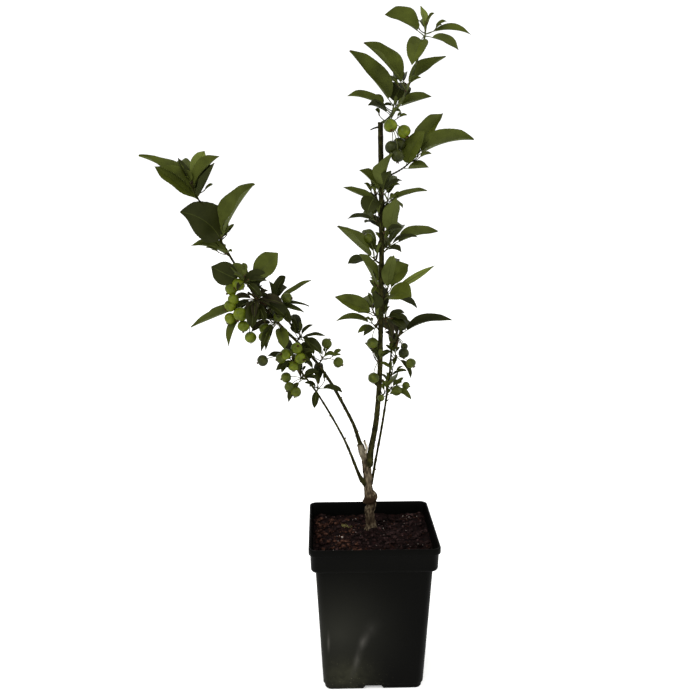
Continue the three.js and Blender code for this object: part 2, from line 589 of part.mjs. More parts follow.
function mass(row, seed, others) {
  const limb = limbs[row.limb];
  const [heading, rise, length] = row.stem;
  const foot = curveOf(limb.points).getPoint(row.at);
  const stem = arc(foot, heading, rise, length, SPUR_BOW);
  const collar = (radiusOf(limb, row.at) + SPUR_COLLAR) / length;
  const bare = row.bare || (length > LONG_STEM ? 0.5 : collar);
  const listed = row.leaves.slice();
  const dice = seeded(seed);
  for (let i = 0; i < row.behind; i += 1) {
    listed.push([draw(BEHIND_HEADING, dice), draw(BEHIND_RISE, dice), draw(BEHIND_LENGTH, dice)]);
  }
  let solid = rod(stem, SPUR_RADIUS, SPUR_TIP_RADIUS, 5, 2);
  listed.forEach(([turn, up, reach, form], i) => {
    const base = stem(lerp(bare, LAST_LEAF, (i + 1) / Math.max(row.leaves.length, i + 1))).centre;
    const make = (way, grow) => leaf(base, way, up, reach, form, seeded(seed + i + 1), grow);
    const placed = place(make, turn, sleeves[row.limb], others);
    solid = placed ? solid.add(placed) : solid;
  });
  for (const [turn, up, reach, size] of row.fruits || []) {
    const radius = size || FRUIT_RADIUS + FRUIT_SPREAD * (dice() - 0.5);
    const top = stem(LAST_LEAF).centre;
    const make = (way, grow) => {
      const stalk = arc(top, way, up, reach, STALK_BOW);
      const ball = fruit(stalk(1).centre, radius + grow);
      return rod(stalk, STALK_RADIUS + grow, STALK_RADIUS + grow, 3, 2).add(ball);
    };
    const placed = place(make, turn, sleeves[row.limb], others);
    solid = placed ? solid.add(placed) : solid;
  }
  return largest(solid.subtract(sleeves[row.limb]));
}

const tree = new THREE.Group();
tree.name = 'potted_crab_apple';
tree.add(pot(), soil());
for (const [name, solid] of Object.entries(limbSolids)) {
  tree.add(toMesh(name, solid, { color: limbs[name].bark, roughness: 0.85, metalness: 0 }));
}
const taken = Object.values(sleeves);
masses.forEach((row, i) => {
  const others = taken.filter((solid) => solid !== sleeves[row.limb]);
  const solid = mass(row, 100 * (i + 1), others);
  taken.push(solid);
  tree.add(toMesh(row.name, solid, row.leaves.length ? foliage : fruitGreen));
});

export default tree;
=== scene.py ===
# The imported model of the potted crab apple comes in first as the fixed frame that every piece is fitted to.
import bpy
import bmesh
import math
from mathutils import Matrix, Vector, noise


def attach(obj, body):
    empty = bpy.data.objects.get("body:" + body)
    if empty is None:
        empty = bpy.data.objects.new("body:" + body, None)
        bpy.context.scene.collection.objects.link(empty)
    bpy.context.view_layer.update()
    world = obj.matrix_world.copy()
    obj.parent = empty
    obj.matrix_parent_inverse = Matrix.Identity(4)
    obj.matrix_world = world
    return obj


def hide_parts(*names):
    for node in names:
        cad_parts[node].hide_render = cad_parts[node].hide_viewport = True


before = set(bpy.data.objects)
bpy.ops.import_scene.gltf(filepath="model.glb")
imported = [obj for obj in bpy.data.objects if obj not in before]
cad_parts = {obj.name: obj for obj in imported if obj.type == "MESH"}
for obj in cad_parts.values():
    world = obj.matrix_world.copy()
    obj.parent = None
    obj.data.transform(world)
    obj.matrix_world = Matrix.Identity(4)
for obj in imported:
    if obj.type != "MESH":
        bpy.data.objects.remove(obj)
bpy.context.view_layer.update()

# Camera: it stands well above the pot and a little to its left, square to the front,
# and looks down by about eleven degrees, as the photograph does.
photo_view = bpy.data.objects.new("photo_view", bpy.data.cameras.new("photo_view"))
photo_view.data.sensor_width = 36
photo_view.data.lens = 45.2
photo_view.location = (-0.071, -1.2023, 0.724)
photo_view.rotation_euler = (math.pi / 2 - 0.1998, 0, -0.033)
bpy.context.scene.collection.objects.link(photo_view)
bpy.context.scene.camera = photo_view


# Nursery pot: a square pot of thin black plastic with a deep collar, moulded in one shot and used before,
# so that its front is scuffed and its foot dusty. A channel under each side lets the water out.
MM = 0.001
POT_HEIGHT = 221.5
RIM_FOOT = 212
RIM_SIDE = 181.5
COLLAR_TOP_SIDE = 177
COLLAR_FOOT_SIDE = 175.5
COLLAR_FOOT = 186.5
BODY_TOP_SIDE = 163
BODY_FOOT_SIDE = 143
FOOT_STEP = 9
FOOT_SIDE = 139
WALL = 2
FLOOR_TOP = 9
CORNER_RADIUS = 11
CORNER_POINTS = 10
NOTCH_WIDTH = 31.5
NOTCH_TOP_WIDTH = 23
NOTCH_HEIGHT = 5.5
NOTCH_REACH = 40
DRAIN_RADIUS = 5
DRAIN_INSET = 48
DRAIN_SIDES = 20
SHARP_EDGE = 40

# The outline from under the foot, up over the rim and down inside, part by part: the part's side and height,
# then how much wider, higher and tighter at its corners each ring of the part is
pot_outline = [
    (FOOT_SIDE, 0, [(-6, 0, 4), (-3.4, 0.4, 2.5), (-1.4, 1.8, 1.5), (-0.4, 4, 1)]),
    (FOOT_SIDE, FOOT_STEP, [(0, -2, 0.8), (0.7, -1.2, 0.6)]),
    (BODY_FOOT_SIDE, FOOT_STEP, [(-0.6, -0.4, 0), (0, 0.5, 0)]),
    (BODY_TOP_SIDE, COLLAR_FOOT, [(-0.3, -3, 0), (0.6, -1, 0), (2.6, -0.1, 0)]),
    (COLLAR_FOOT_SIDE, COLLAR_FOOT, [(-5.4, 0.1, 1), (-2.2, 0.8, 0), (-0.6, 2.2, 0), (0, 4.2, 0)]),
    (COLLAR_TOP_SIDE, RIM_FOOT, [(0, -1, 0), (0.8, -0.2, 0)]),
    (RIM_SIDE, RIM_FOOT, [(-2.6, 0.1, 0), (-0.6, 0.6, 0), (0, 1.4, 0)]),
    (RIM_SIDE, POT_HEIGHT, [(0, -1.2, 0), (-0.5, -0.4, 0), (-1.6, 0, 0)]),
    (RIM_SIDE, POT_HEIGHT, [(-3.4, 0, 1), (-4.4, -0.5, 1), (-5.2, -2, 1)]),
    (COLLAR_TOP_SIDE, RIM_FOOT, [(-2 * WALL, 0, 1)]),
    (COLLAR_FOOT_SIDE, COLLAR_FOOT, [(-2 * WALL, 3, 1)]),
    (BODY_TOP_SIDE, COLLAR_FOOT, [(-2 * WALL, 0, 1)]),
    (BODY_FOOT_SIDE, FLOOR_TOP, [(-2 * WALL, 0, 1)]),
]


def square_ring(side, height, corner):
    """Square with round corners, level at a height"""
    inner = side / 2 - corner
    quarter = []
    for i in range(CORNER_POINTS + 1):
        angle = i / CORNER_POINTS * math.pi / 2
        quarter.append((inner + corner * math.cos(angle), inner + corner * math.sin(angle)))
    quarter += [(inner * share, side / 2) for share in (0.5, 0, -0.5)]
    turns = [k * math.pi / 2 for k in range(4)]
    return [
        Vector((x * math.cos(a) - y * math.sin(a), x * math.sin(a) + y * math.cos(a), height))
        for a in turns for x, y in quarter
    ]


def skin(rings, finish=None):
    """Points, faces and the finish of each face of a closed skin over rings; a ring of one point is a tip"""
    points = [point for ring in rings for point in ring]
    faces = []
    first = 0
    for low, high in zip(rings, rings[1:]):
        after = first + len(low)
        count = max(len(low), len(high))
        for i in range(count):
            j = (i + 1) % count
            if len(low) == 1:
                faces.append((first, after + j, after + i))
            elif len(high) == 1:
                faces.append((first + i, first + j, after))
            else:
                faces.append((first + i, first + j, after + j, after + i))
        first = after
    if len(rings[0]) > 1:
        faces.append(tuple(reversed(range(len(rings[0])))))
    if len(rings[-1]) > 1:
        faces.append(tuple(range(first, first + len(rings[-1]))))
    return points, faces, [finish] * len(faces)


def stand(name, skins, finishes, sharp=SHARP_EDGE):
    """One piece made of all the skins, in its finishes, riding with the pot"""
    points, faces, shown = [], [], []
    for some_points, some_faces, some_finishes in skins:
        faces += [tuple(len(points) + i for i in face) for face in some_faces]
        points += [point * MM for point in some_points]
        shown += [finishes.index(finish) for finish in some_finishes]
    mesh = bpy.data.meshes.new(name)
    mesh.from_pydata(points, [], faces)
    mesh.polygons.foreach_set("material_index", shown)
    mesh.polygons.foreach_set("use_smooth", [True] * len(faces))
    shaped = bmesh.new()
    shaped.from_mesh(mesh)
    bmesh.ops.recalc_face_normals(shaped, faces=shaped.faces)
    shaped.to_mesh(mesh)
    shaped.free()
    mesh.set_sharp_from_angle(angle=math.radians(sharp))
    for finish in finishes:
        mesh.materials.append(finish)
    piece = bpy.data.objects.new(name, mesh)
    bpy.context.scene.collection.objects.link(piece)
    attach(piece, "root")
    return piece


def paint(code):
    """The shader's colour for a painter's code"""
    parts = [int(code[i:i + 2], 16) / 255 for i in (1, 3, 5)]
    return [*(c / 12.92 if c <= 0.04045 else ((c + 0.055) / 1.055) ** 2.4 for c in parts), 1]


def plugged(tree, kind, given, data_type=None):
    """A new shader node with other nodes' outputs, or plain values, in its sockets"""
    node = tree.nodes.new("ShaderNode" + kind)
    if data_type:
        node.data_type = data_type
    for socket, value in given.items():
        if isinstance(value, bpy.types.NodeSocket):
            tree.links.new(value, node.inputs[socket])
        else:
            node.inputs[socket].default_value = value
    return node


def grain(tree, size, stretch=(1, 1, 1), layers=3):
    """Cloudy pattern with grains of one size in mm, drawn out along an axis where stretch is under 1"""
    place = plugged(tree, "TexCoord", {}).outputs["Object"]
    shrunk = plugged(tree, "Mapping", {"Vector": place, "Scale": stretch}).outputs["Vector"]
    cloud = plugged(tree, "TexNoise", {"Vector": shrunk, "Scale": 1 / (size * MM), "Detail": layers})
    return cloud.outputs["Fac"]


def patch(tree, centre, size, lean=0):
    """Soft patch that fades from its centre; sizes in mm, its length leaning to the right by degrees"""
    moved = plugged(tree, "Mapping", {
        "Vector": plugged(tree, "TexCoord", {}).outputs["Object"], "Location": [c * MM for c in centre],
        "Rotation": (0, math.radians(lean), 0), "Scale": [s * MM for s in size]})
    moved.vector_type = "TEXTURE"
    fade = plugged(tree, "TexGradient", {"Vector": moved.outputs["Vector"]})
    fade.gradient_type = "QUADRATIC_SPHERE"
    return fade.outputs["Fac"]


def tones(tree, pattern, stops):
    """Colours spread over a pattern, each from its own place between 0 and 1"""
    ramp = plugged(tree, "ValToRGB", {"Fac": pattern})
    marks = ramp.color_ramp.elements
    while len(marks) < len(stops):
        marks.new(0.5)
    for mark, (place, code) in zip(marks, stops):
        mark.position = place
        mark.color = paint(code)
    return ramp.outputs["Color"]


def over(tree, under, code, share):
    """A colour laid over another where the share is high"""
    return plugged(tree, "Mix", {0: share, 6: under, 7: paint(code)}, "RGBA").outputs[2]


def times(tree, first, second, more=0):
    """Two patterns, or a pattern and a number, multiplied, and a number added"""
    product = plugged(tree, "Math", {0: first, 1: second, 2: more})
    product.operation = "MULTIPLY_ADD"
    product.use_clamp = True
    return product.outputs[0]


def new_finish(name, roughness, gloss, colours, dents=None, depth=0):
    """A finish with colours made in its own tree and fine dents, of a grain and a depth in mm"""
    finish = bpy.data.materials.new(name)
    finish.use_nodes = True
    tree = finish.node_tree
    shader = tree.nodes["Principled BSDF"]
    shader.inputs["Roughness"].default_value = roughness
    shader.inputs["Specular IOR Level"].default_value = gloss
    tree.links.new(colours(tree), shader.inputs["Base Color"])
    if dents:
        bump = plugged(tree, "Bump", {"Height": grain(tree, *dents), "Strength": 1, "Distance": depth * MM})
        tree.links.new(bump.outputs["Normal"], shader.inputs["Normal"])
    return finish


def scuffed_black(tree):
    """Black, with a grey patch of painted light over the left of the body's front, pale scuffs on the front
    face, a painted highlight down the left corner, dust low down and specks of soil
    """
    colour = tones(tree, grain(tree, 60), [(0.35, "#040403"), (0.7, "#050504")])
    # Painted light: a grey patch that lightens the left of the body's front and leaves the collar darker
    colour = over(tree, colour, "#22221d", patch(tree, (-48, -70, 90), (120, 110, 130)))
    scuff_and_highlight_grain = grain(tree, 9, (1, 1, 0.4))
    for centre, size, lean, strength in (
        ((-15, -75, 78), (10, 14, 22), 20, 1.2),
        ((-25, -73, 44), (9, 14, 42), 15, 1.0),
        ((-4, -76, 98), (18, 14, 26), 30, 0.25),
        # The last mark is a painted highlight, a thin pale streak down the left corner; the others are scuffs
        ((-64, -75, 78), (3.5, 14, 24), 0, 1.4),
    ):
        share = times(tree, patch(tree, centre, size, lean), strength)
        colour = over(tree, colour, "#4a4844", times(tree, share, scuff_and_highlight_grain))
    dust = times(tree, patch(tree, (-40, -68, 22), (70, 40, 54)), grain(tree, 9))
    colour = over(tree, colour, "#3a3a2c", dust)
    specks = tones(tree, grain(tree, 2.2, layers=1), [(0.7, "#000000"), (0.78, "#ffffff")])
    low_specks = times(tree, patch(tree, (-30, -60, 10), (110, 90, 70)), specks)
    return over(tree, colour, "#5c5748", low_specks)


pot_plastic = new_finish("black_pot_plastic", 0.42, 0.026, scuffed_black, (0.8,), 0.05)
pot_tree = pot_plastic.node_tree
haze = times(pot_tree, grain(pot_tree, 25), 0.3, 0.28)
pot_tree.links.new(haze, pot_tree.nodes["Principled BSDF"].inputs["Roughness"])

pot_rings = [
    square_ring(side + wider, height + higher, CORNER_RADIUS - tighter)
    for side, height, rings in pot_outline for wider, higher, tighter in rings
]
pot = stand("nursery_pot", [skin(pot_rings, pot_plastic)], [pot_plastic])
cutters = []
for face in range(4):
    quarter = face * math.pi / 2
    across = Vector((math.cos(quarter), math.sin(quarter), 0))
    inward = Vector((-math.sin(quarter), math.cos(quarter), 0))
    channel = []
    for reach in (-BODY_FOOT_SIDE / 2 - 2, -BODY_FOOT_SIDE / 2 + NOTCH_REACH):
        channel.append([
            across * (side * width / 2) + inward * reach + Vector((0, 0, height))
            for side, width, height in (
                (-1, NOTCH_WIDTH, -1), (1, NOTCH_WIDTH, -1),
                (1, NOTCH_TOP_WIDTH, NOTCH_HEIGHT), (-1, NOTCH_TOP_WIDTH, NOTCH_HEIGHT))
        ])
    cutters.append(skin(channel, pot_plastic))
    hole = []
    for height in (NOTCH_HEIGHT - 1, FLOOR_TOP + 1):
        turns = [2 * math.pi * k / DRAIN_SIDES for k in range(DRAIN_SIDES)]
        hole.append([
            inward * -DRAIN_INSET + Vector((DRAIN_RADIUS * math.cos(a), DRAIN_RADIUS * math.sin(a), height))
            for a in turns
        ])
    cutters.append(skin(hole, pot_plastic))
cutter = stand("pot_channels", cutters, [pot_plastic])
cut = pot.modifiers.new("channels", "BOOLEAN")
cut.operation = "DIFFERENCE"
cut.solver = "EXACT"
cut.use_self = True
cut.object = cutter
shaped_pot = bpy.data.meshes.new_from_object(pot.evaluated_get(bpy.context.evaluated_depsgraph_get()))
pot.modifiers.clear()
pot.data = shaped_pot
pot.data.name = "nursery_pot"
pot.data.set_sharp_from_angle(angle=math.radians(SHARP_EDGE))
bpy.data.objects.remove(cutter)
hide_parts("pot")


# Compost: a bark and peat mix, reddish brown and coarse, filled in loose and sunk unevenly since.
# White grains of perlite lie in it, with bark shreds on top and a little moss left of the trunk.
TRUNK_FOOT = (0, 15, 208)
BED_REACH = 86
BED_GAP = 0.3
SOIL_EDGE = 200.5
SOIL_TOP = 207.7
SOIL_TILT = 0.0265
SOIL_ROUGHNESS = 1.6
SOIL_LUMP = 15
SOIL_RINGS = 56
SOIL_CRUMBS = ((2.6, 12), (1.8, 4.5), (0.9, 1.9))
HEAP = 2.4
HOLLOW_DEPTH = 2.5
HOLLOWS = [(-17, 52, 20), (20, 48, 22), (52, -50, 26), (36, 76, 22), (-70, -20, 16)]
TRUNK_CLEARANCE = 9
CRUMBS = 1900
CRUMB_SPREAD = 164
CRUMB_SIZE = (0.6, 3.4)
SHREDS = 110
SHRED_SPREAD = 160
SHRED_LENGTH = (4, 8)
SHRED_WIDTH = (0.8, 1.6)
PERLITE = 64
PERLITE_SPREAD = 156
PERLITE_SIZE = (0.35, 0.45)
PERLITE_LUMPS = [(-43, -3), (64, -30), (70, -36), (-60, -6), (59, 74), (66, 76), (56, 70), (62, 68), (69, 72),
                 (53, 76), (64, 79), (74, 70)]
MOSS_TUFTS = 110
MOSS_PLACE = (-35, 33)
MOSS_REACH = 6


def seeded(seed):
    """Draws between 0 and 1 that are the same each time"""
    state = seed

    def next_draw():
        nonlocal state
        state = (state + 0x6D2B79F5) & 0xFFFFFFFF
        mixed = ((state ^ (state >> 15)) * (1 | state)) & 0xFFFFFFFF
        mixed = ((mixed + (mixed ^ (mixed >> 7)) * (61 | mixed)) & 0xFFFFFFFF) ^ mixed
        return (mixed ^ (mixed >> 14)) / 4294967296
    return next_draw


def drawn(least_and_spread, dice):
    return least_and_spread[0] + least_and_spread[1] * dice()


def scattered(spread, dice):
    return spread * (dice() - 0.5), spread * (dice() - 0.5)


def blend(low, high, share):
    return low + (high - low) * share


def from_trunk(x, y):
    return math.hypot(x - TRUNK_FOOT[0], y - TRUNK_FOOT[1])


def hollow(x, y):
    """How far a place lies in one of the sunk parts of the bed, up to 1; crumbs there get dark compost as
    painted shade
    """
    return max(math.exp(-((x - a) ** 2 + (y - b) ** 2) / reach ** 2) for a, b, reach in HOLLOWS)


def on_soil(x, y, lift=0):
    """Place on the lumpy bed, which is heaped round the trunk and falls to the pot's wall"""
    reach = BED_REACH + TRUNK_FOOT[1] if y < TRUNK_FOOT[1] else BED_REACH - TRUNK_FOOT[1]
    inward = max(0, 1 - max(abs(x) / BED_REACH, abs(y - TRUNK_FOOT[1]) / reach))
    height = blend(SOIL_EDGE, SOIL_TOP, inward ** 1.6) + SOIL_TILT * (x + y) * (1 - inward)
    height += SOIL_ROUGHNESS * math.sin(x / SOIL_LUMP + 1) * math.cos(y / SOIL_LUMP)
    height += sum(high * noise.noise(Vector((x, y, 0)) / wide) for high, wide in SOIL_CRUMBS)
    height += HEAP * math.exp(-((from_trunk(x, y) - TRUNK_CLEARANCE) / 5) ** 2) - HOLLOW_DEPTH * hollow(x, y)
    return Vector((x, y, height + lift))


def pebble(centre, size, dice, finish, squash=0.7):
    """Rough round grain, turned and dented by the draws"""
    turn = 2 * math.pi * dice()
    seed = Vector((dice(), dice(), dice())) * 40
    rings = [[centre + Vector((0, 0, -size * squash))]]
    for height, width in ((-0.6, 0.8), (0.1, 1), (0.7, 0.68)):
        ring = []
        for k in range(6):
            out = Vector((math.cos(turn + k * math.pi / 3), math.sin(turn + k * math.pi / 3), height))
            dent = 1 + 0.5 * noise.noise(seed + out * 2)
            ring.append(centre + out * dent * size * Vector((width, width, squash)))
        rings.append(ring)
    rings.append([centre + Vector((0, 0, size * squash))])
    return skin(rings, finish)


def shred(centre, length, width, dice, finish):
    """Flat sliver of bark lying at a slant"""
    turn = 2 * math.pi * dice()
    along = Vector((math.cos(turn), math.sin(turn), 0.5 * dice() - 0.25)) * length / 2
    aside = Vector((-math.sin(turn), math.cos(turn), 0.4 * dice())) * width / 2
    up = Vector((0, 0, 0.25 * width + 0.2))
    rings = [[centre - along]]
    for share in (-0.5, 0.4):
        middle = centre + along * share + up * (0.6 - share)
        rings.append([middle + aside, middle + up, middle - aside, middle - up])
    rings.append([centre + along])
    return skin(rings, finish)


def earth(name, stops, size, depth):
    return new_finish(name, 0.95, 0.03, lambda tree: tones(tree, grain(tree, size, layers=5), stops),
                      (size / 4,), depth)


compost_dark = earth("compost_dark", [(0.3, "#050303"), (0.5, "#100908"), (0.7, "#1f1110")], 7, 0.8)
compost_red = earth("compost_red", [(0.32, "#120907"), (0.52, "#2f1c15"), (0.7, "#573d31")], 4, 0.6)
compost_lump = earth("compost_lump", [(0.32, "#0b0706"), (0.52, "#1e1413"), (0.7, "#3d2c2a")], 4, 0.6)
bark_shred = earth("bark_shred", [(0.3, "#140a07"), (0.7, "#2f1c14")], 4, 0.4)
perlite_white = earth("perlite_white", [(0.3, "#6a615b"), (0.7, "#a59b92")], 2, 0.3)
moss_green = earth("moss_green", [(0.3, "#4b4726"), (0.7, "#8b8453")], 2, 0.3)

bed_side = COLLAR_FOOT_SIDE - 2 * WALL - 2 * BED_GAP
bed_corners = square_ring(bed_side, 0, CORNER_RADIUS - 1)
bed_edge = []
for corner, after in zip(bed_corners, bed_corners[1:] + bed_corners[:1]):
    steps = max(1, round((after - corner).length / 3))
    bed_edge += [corner.lerp(after, i / steps) for i in range(steps)]
bed_rings = []
for side, height in (
    (BODY_FOOT_SIDE - 2 * WALL - 2 * BED_GAP, FLOOR_TOP + BED_GAP),
    (BODY_TOP_SIDE - 2 * WALL - 2 * BED_GAP, COLLAR_FOOT),
    (bed_side, COLLAR_FOOT + 3.3),
):
    bed_rings.append([Vector((p.x * side / bed_side, p.y * side / bed_side, height)) for p in bed_edge])
for r in range(SOIL_RINGS + 1):
    share = r / (SOIL_RINGS + 1)
    bed_rings.append([
        on_soil(blend(p.x, TRUNK_FOOT[0], share), blend(p.y, TRUNK_FOOT[1], share)) for p in bed_edge])
bed_rings.append([Vector((TRUNK_FOOT[0], TRUNK_FOOT[1], SOIL_TOP))])
bed = stand("compost_bed", [skin(bed_rings, compost_dark)], [compost_dark], sharp=180)

dice = seeded(11)
crumbs = []
for k in range(CRUMBS):
    x, y = scattered(CRUMB_SPREAD, dice)
    size = CRUMB_SIZE[0] + CRUMB_SIZE[1] * dice() ** 5
    red = noise.noise(Vector((x, y, 5)) / 30) - 0.011 * x > 0.15 + 0.5 * dice()
    if from_trunk(x, y) > TRUNK_CLEARANCE:
        # Painted shade: crumbs in the hollows take the dark compost, as do the smallest crumbs anywhere
        small_or_in_painted_shade = size < 0.8 or hollow(x, y) > 0.2 + 0.6 * dice()
        finish = compost_dark if small_or_in_painted_shade else compost_red if red else compost_lump
        crumbs.append(pebble(on_soil(x, y, 0.3 * size), size, dice, finish))
for k in range(SHREDS):
    x, y = scattered(SHRED_SPREAD, dice)
    if from_trunk(x, y) > TRUNK_CLEARANCE + 1:
        length, width = drawn(SHRED_LENGTH, dice), drawn(SHRED_WIDTH, dice)
        crumbs.append(shred(on_soil(x, y, 0.8), length, width, dice, bark_shred))
loose = stand("compost_crumbs", crumbs, [compost_dark, compost_red, compost_lump, bark_shred], sharp=50)

grains = []
for k in range(PERLITE):
    if k < len(PERLITE_LUMPS):
        x, y = PERLITE_LUMPS[k]
        size = 1.8 if k < 3 else 0.9
    else:
        x, y = scattered(PERLITE_SPREAD, dice)
        size = drawn(PERLITE_SIZE, dice)
    grains.append(pebble(on_soil(x, y, 1), size, dice, perlite_white, 0.85))
perlite = stand("perlite_grains", grains, [perlite_white], sharp=60)

tufts = []
for k in range(MOSS_TUFTS):
    angle = 2 * math.pi * dice()
    away = MOSS_REACH * dice() ** 0.7
    foot = on_soil(MOSS_PLACE[0] + 1.3 * away * math.cos(angle), MOSS_PLACE[1] + away * math.sin(angle))
    tip = foot + Vector((*scattered(1.6, dice), 1.6 + 2 * dice()))
    sides = [Vector(side) for side in ((0.5, 0, 0), (0, 0.5, 0), (-0.5, 0, 0), (0, -0.5, 0))]
    tufts.append(skin([[foot + side for side in sides], [tip]], moss_green))
moss = stand("moss_patch", tufts, [moss_green], sharp=60)
for piece in (bed, loose, perlite, moss):
    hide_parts("soil")


# Trunk and boughs: a grafted stem of old grey-brown wood that forks low, with four whippy young stems
# growing on from it, their bark dark olive and dotted with buds. Each limb is one skin with its relief.
limbs = {
    "trunk": dict(
        points=[(0, 15, 208), (0, 15, 215), (-2, 15, 233), (0, 15, 252), (-4, 15, 270), (-7, 14, 309),
                   (-15, 13, 339)],
        radii=[10, 7.8, 6.7, 9.4, 6.4, 6.4, 4.6], wood="old"),
    "leader": dict(
        points=[(-5, 14, 307), (-1, 14, 330), (6.3, 12, 371), (11, 10, 435), (12, 7, 521), (12, 3, 633),
                   (9, -2, 789)],
        radii=[4.4, 4.3, 4, 3.6, 3.5, 3.5, 3.6], wood="young", collar=(20, 0.9, (1.6, -2.4, 0))),
    "left_bough": dict(
        points=[(-15, 13, 338), (-32, 7, 383), (-76, -8, 462), (-147, -26, 544), (-198, -42, 629),
                   (-222, -52, 682)],
        radii=[2.6, 2.4, 2.1, 1.8, 1.5, 1.2], wood="young", collar=(16, 0.7, (-0.6, 0, 0))),
    "low_stem": dict(
        points=[(-10, 13, 280), (-18, 10, 294), (-40, 2, 351), (-74, -15, 417), (-101, -28, 459)],
        radii=[3.6, 2.6, 1.6, 1.4, 1.2], wood="young", collar=(12, 0.4, (0.4, -1, 0))),
    "right_stem": dict(
        points=[(0.8, 16, 277), (5, 20, 302), (18, 30, 372), (27, 38, 435), (30, 42, 474)],
        radii=[2.2, 1.8, 1.7, 1.5, 1.3], wood="young", collar=(9, 0.2, (-0.7, -0.6, 0))),
    "top_shoot": dict(
        points=[(11, -3, 788), (21, -6, 795), (41, -12, 825), (63, -24, 891)],
        radii=[2.0, 1.8, 1.5, 1.1], wood="green"),
}
SNAG_POINTS = [(-9, 12, 324), (-7, 9, 334), (-10.6, 8, 345)]
CUT_TWIG = [(6.6, -2, 782.6), (0.5, -2, 781), (-4.4, -2, 778.7)]
GRAFT_HEIGHT = 253
GRAFT_LIP = 2.9
ROOT_TOES = 3.6
FORK_HEIGHT = 316
BUD_SPACING = 24
BUD_TURN = 137.5
BUD_LENGTH = (2.6, 2.2)


def curve_point(points, t):
    """Place at a share of the way along a smooth line through the points"""
    last = len(points) - 1
    place = min(max(t, 0), 1) * last
    k = min(int(place), last - 1)
    w = place - k
    b, c = Vector(points[k]), Vector(points[k + 1])
    a = Vector(points[k - 1]) if k > 0 else 2 * b - c
    d = Vector(points[k + 2]) if k + 2 <= last else 2 * c - b
    return (
        b + (c - a) / 2 * w
        + (3 * (c - b) - (c - a) - (d - b) / 2) * w ** 2
        + (2 * (b - c) + (c - a) / 2 + (d - b) / 2) * w ** 3
    )


def curve_radius(limb, t):
    place = t * (len(limb["radii"]) - 1)
    k = min(int(place), len(limb["radii"]) - 2)
    return blend(limb["radii"][k], limb["radii"][k + 1], place - k)


def tube(path, radius_at, sides, steps, finish, relief_at=None):
    """Round bar along a path, from its foot to a closed end"""
    rings = []
    across = Vector((1, 0, 0))
    for i in range(steps + 1):
        s = i / steps
        centre = path(s)
        along = (path(min(1, s + 0.004)) - path(max(0, s - 0.004))).normalized()
        across = (across - along * across.dot(along)).normalized()
        aside = along.cross(across)
        ring = []
        for k in range(sides):
            angle = 2 * math.pi * k / sides
            out = across * math.cos(angle) + aside * math.sin(angle)
            ring.append(centre + out * (radius_at(s) + (relief_at(centre, out) if relief_at else 0)))
        rings.append(ring)
    return skin(rings, finish)


def spoke(way, angle):
    """Direction straight out from a way, at an angle round it"""
    across = way.orthogonal().normalized()
    return across * math.cos(angle) + way.cross(across) * math.sin(angle)


def bud(foot, way, length, radius, finish):
    """Small pointed bud pressed forward along its stem"""
    rings = []
    for share, width in ((-0.2, 0.6), (0.15, 1), (0.5, 0.8), (0.8, 0.4)):
        middle = foot + way * (length * share)
        rings.append([middle + spoke(way, k * math.pi / 3) * (radius * width) for k in range(6)])
    rings.append([foot + way * length])
    return skin(rings, finish)


def bark(name, low, middle, high, size, depth, stretch, gloss, marks=()):
    """Streaky bark; each mark is a place, how far it reaches, its colour and how strongly it shows"""
    def colours(tree):
        colour = tones(tree, grain(tree, size, stretch, 5), [(0.34, low), (0.5, middle), (0.68, high)])
        for centre, reach, code, strength in marks:
            share = times(tree, patch(tree, centre, reach), grain(tree, size, stretch, 5))
            colour = over(tree, colour, code, times(tree, share, strength))
        return colour
    return new_finish(name, 0.8, gloss, colours, (size / 3, stretch, 4), depth)


old_bark = bark("old_bark", "#110b07", "#372d20", "#6e634f", 3.2, 0.7, (1, 1, 0.4), 0.03, [
    ((-15, 8, 330), (15, 24, 30), "#837c69", 1.5),
    ((-4, 8, 285), (12, 20, 42), "#6b624f", 0.9),
    ((-1, 8, 254), (22, 24, 10), "#21170d", 6),
    ((-2, 6, 315), (14, 22, 11), "#1c170a", 6),
    # Painted shade: a darker patch over the lower trunk below the graft, a little to the right
    ((2, 8, 226), (24, 30, 36), "#2a2019", 1.2),
])
young_bark = bark("young_bark", "#121106", "#201f0c", "#343216", 4, 0.25, (1, 1, 0.5), 0.03)
green_bark = bark("green_bark", "#20230f", "#343919", "#4c5126", 4, 0.15, (1, 1, 0.5), 0.18)
bud_brown = bark("bud_brown", "#1a120b", "#2f2014", "#4a3620", 1.5, 0.1, (1, 1, 1), 0.15)
dead_wood = bark("dead_wood", "#5b5345", "#8b8272", "#b0a795", 2, 0.2, (1, 1, 0.3), 0.05)
woods = {"old": old_bark, "young": young_bark, "green": green_bark}


def old_relief(centre, out):
    """Fissured bark, root toes at the foot, the graft's two lips and a thinner right side at the fork"""
    place = centre + out * 6
    furrow = 0.55 * abs(noise.noise(Vector((place.x / 2.6, place.y / 2.6, place.z / 10)))) * 1.5
    rough = noise.noise(place / 2.1) * 0.5 + noise.noise(place / 6) * 0.9 - 0.3
    angle = math.atan2(out.y, out.x)
    toes = max(0, math.cos(3 * angle + 0.9)) * ROOT_TOES * math.exp(-max(0, centre.z - 206) / 4)
    above = centre.z - GRAFT_HEIGHT - 3.5 * out.x
    lip = (GRAFT_LIP - 0.5 * out.x) * math.exp(-(above / (9 if above > 0 else 1.8)) ** 2)
    undercut = 1.5 * math.exp(-((above + 6) / 3.5) ** 2)
    worn = 1.5 * out.x * max(0, min(1, (centre.z - FORK_HEIGHT) / 6))
    return rough + furrow + toes + lip - undercut - worn


def young_relief(centre, out):
    """Smooth bark, a little swollen at every joint"""
    place = centre + out * 3
    joint = max(0, math.cos(centre.z / BUD_SPACING * 2 * math.pi)) ** 8
    return 0.16 * noise.noise(place / 3) + 0.25 * noise.noise(place / 11) + 0.35 * joint


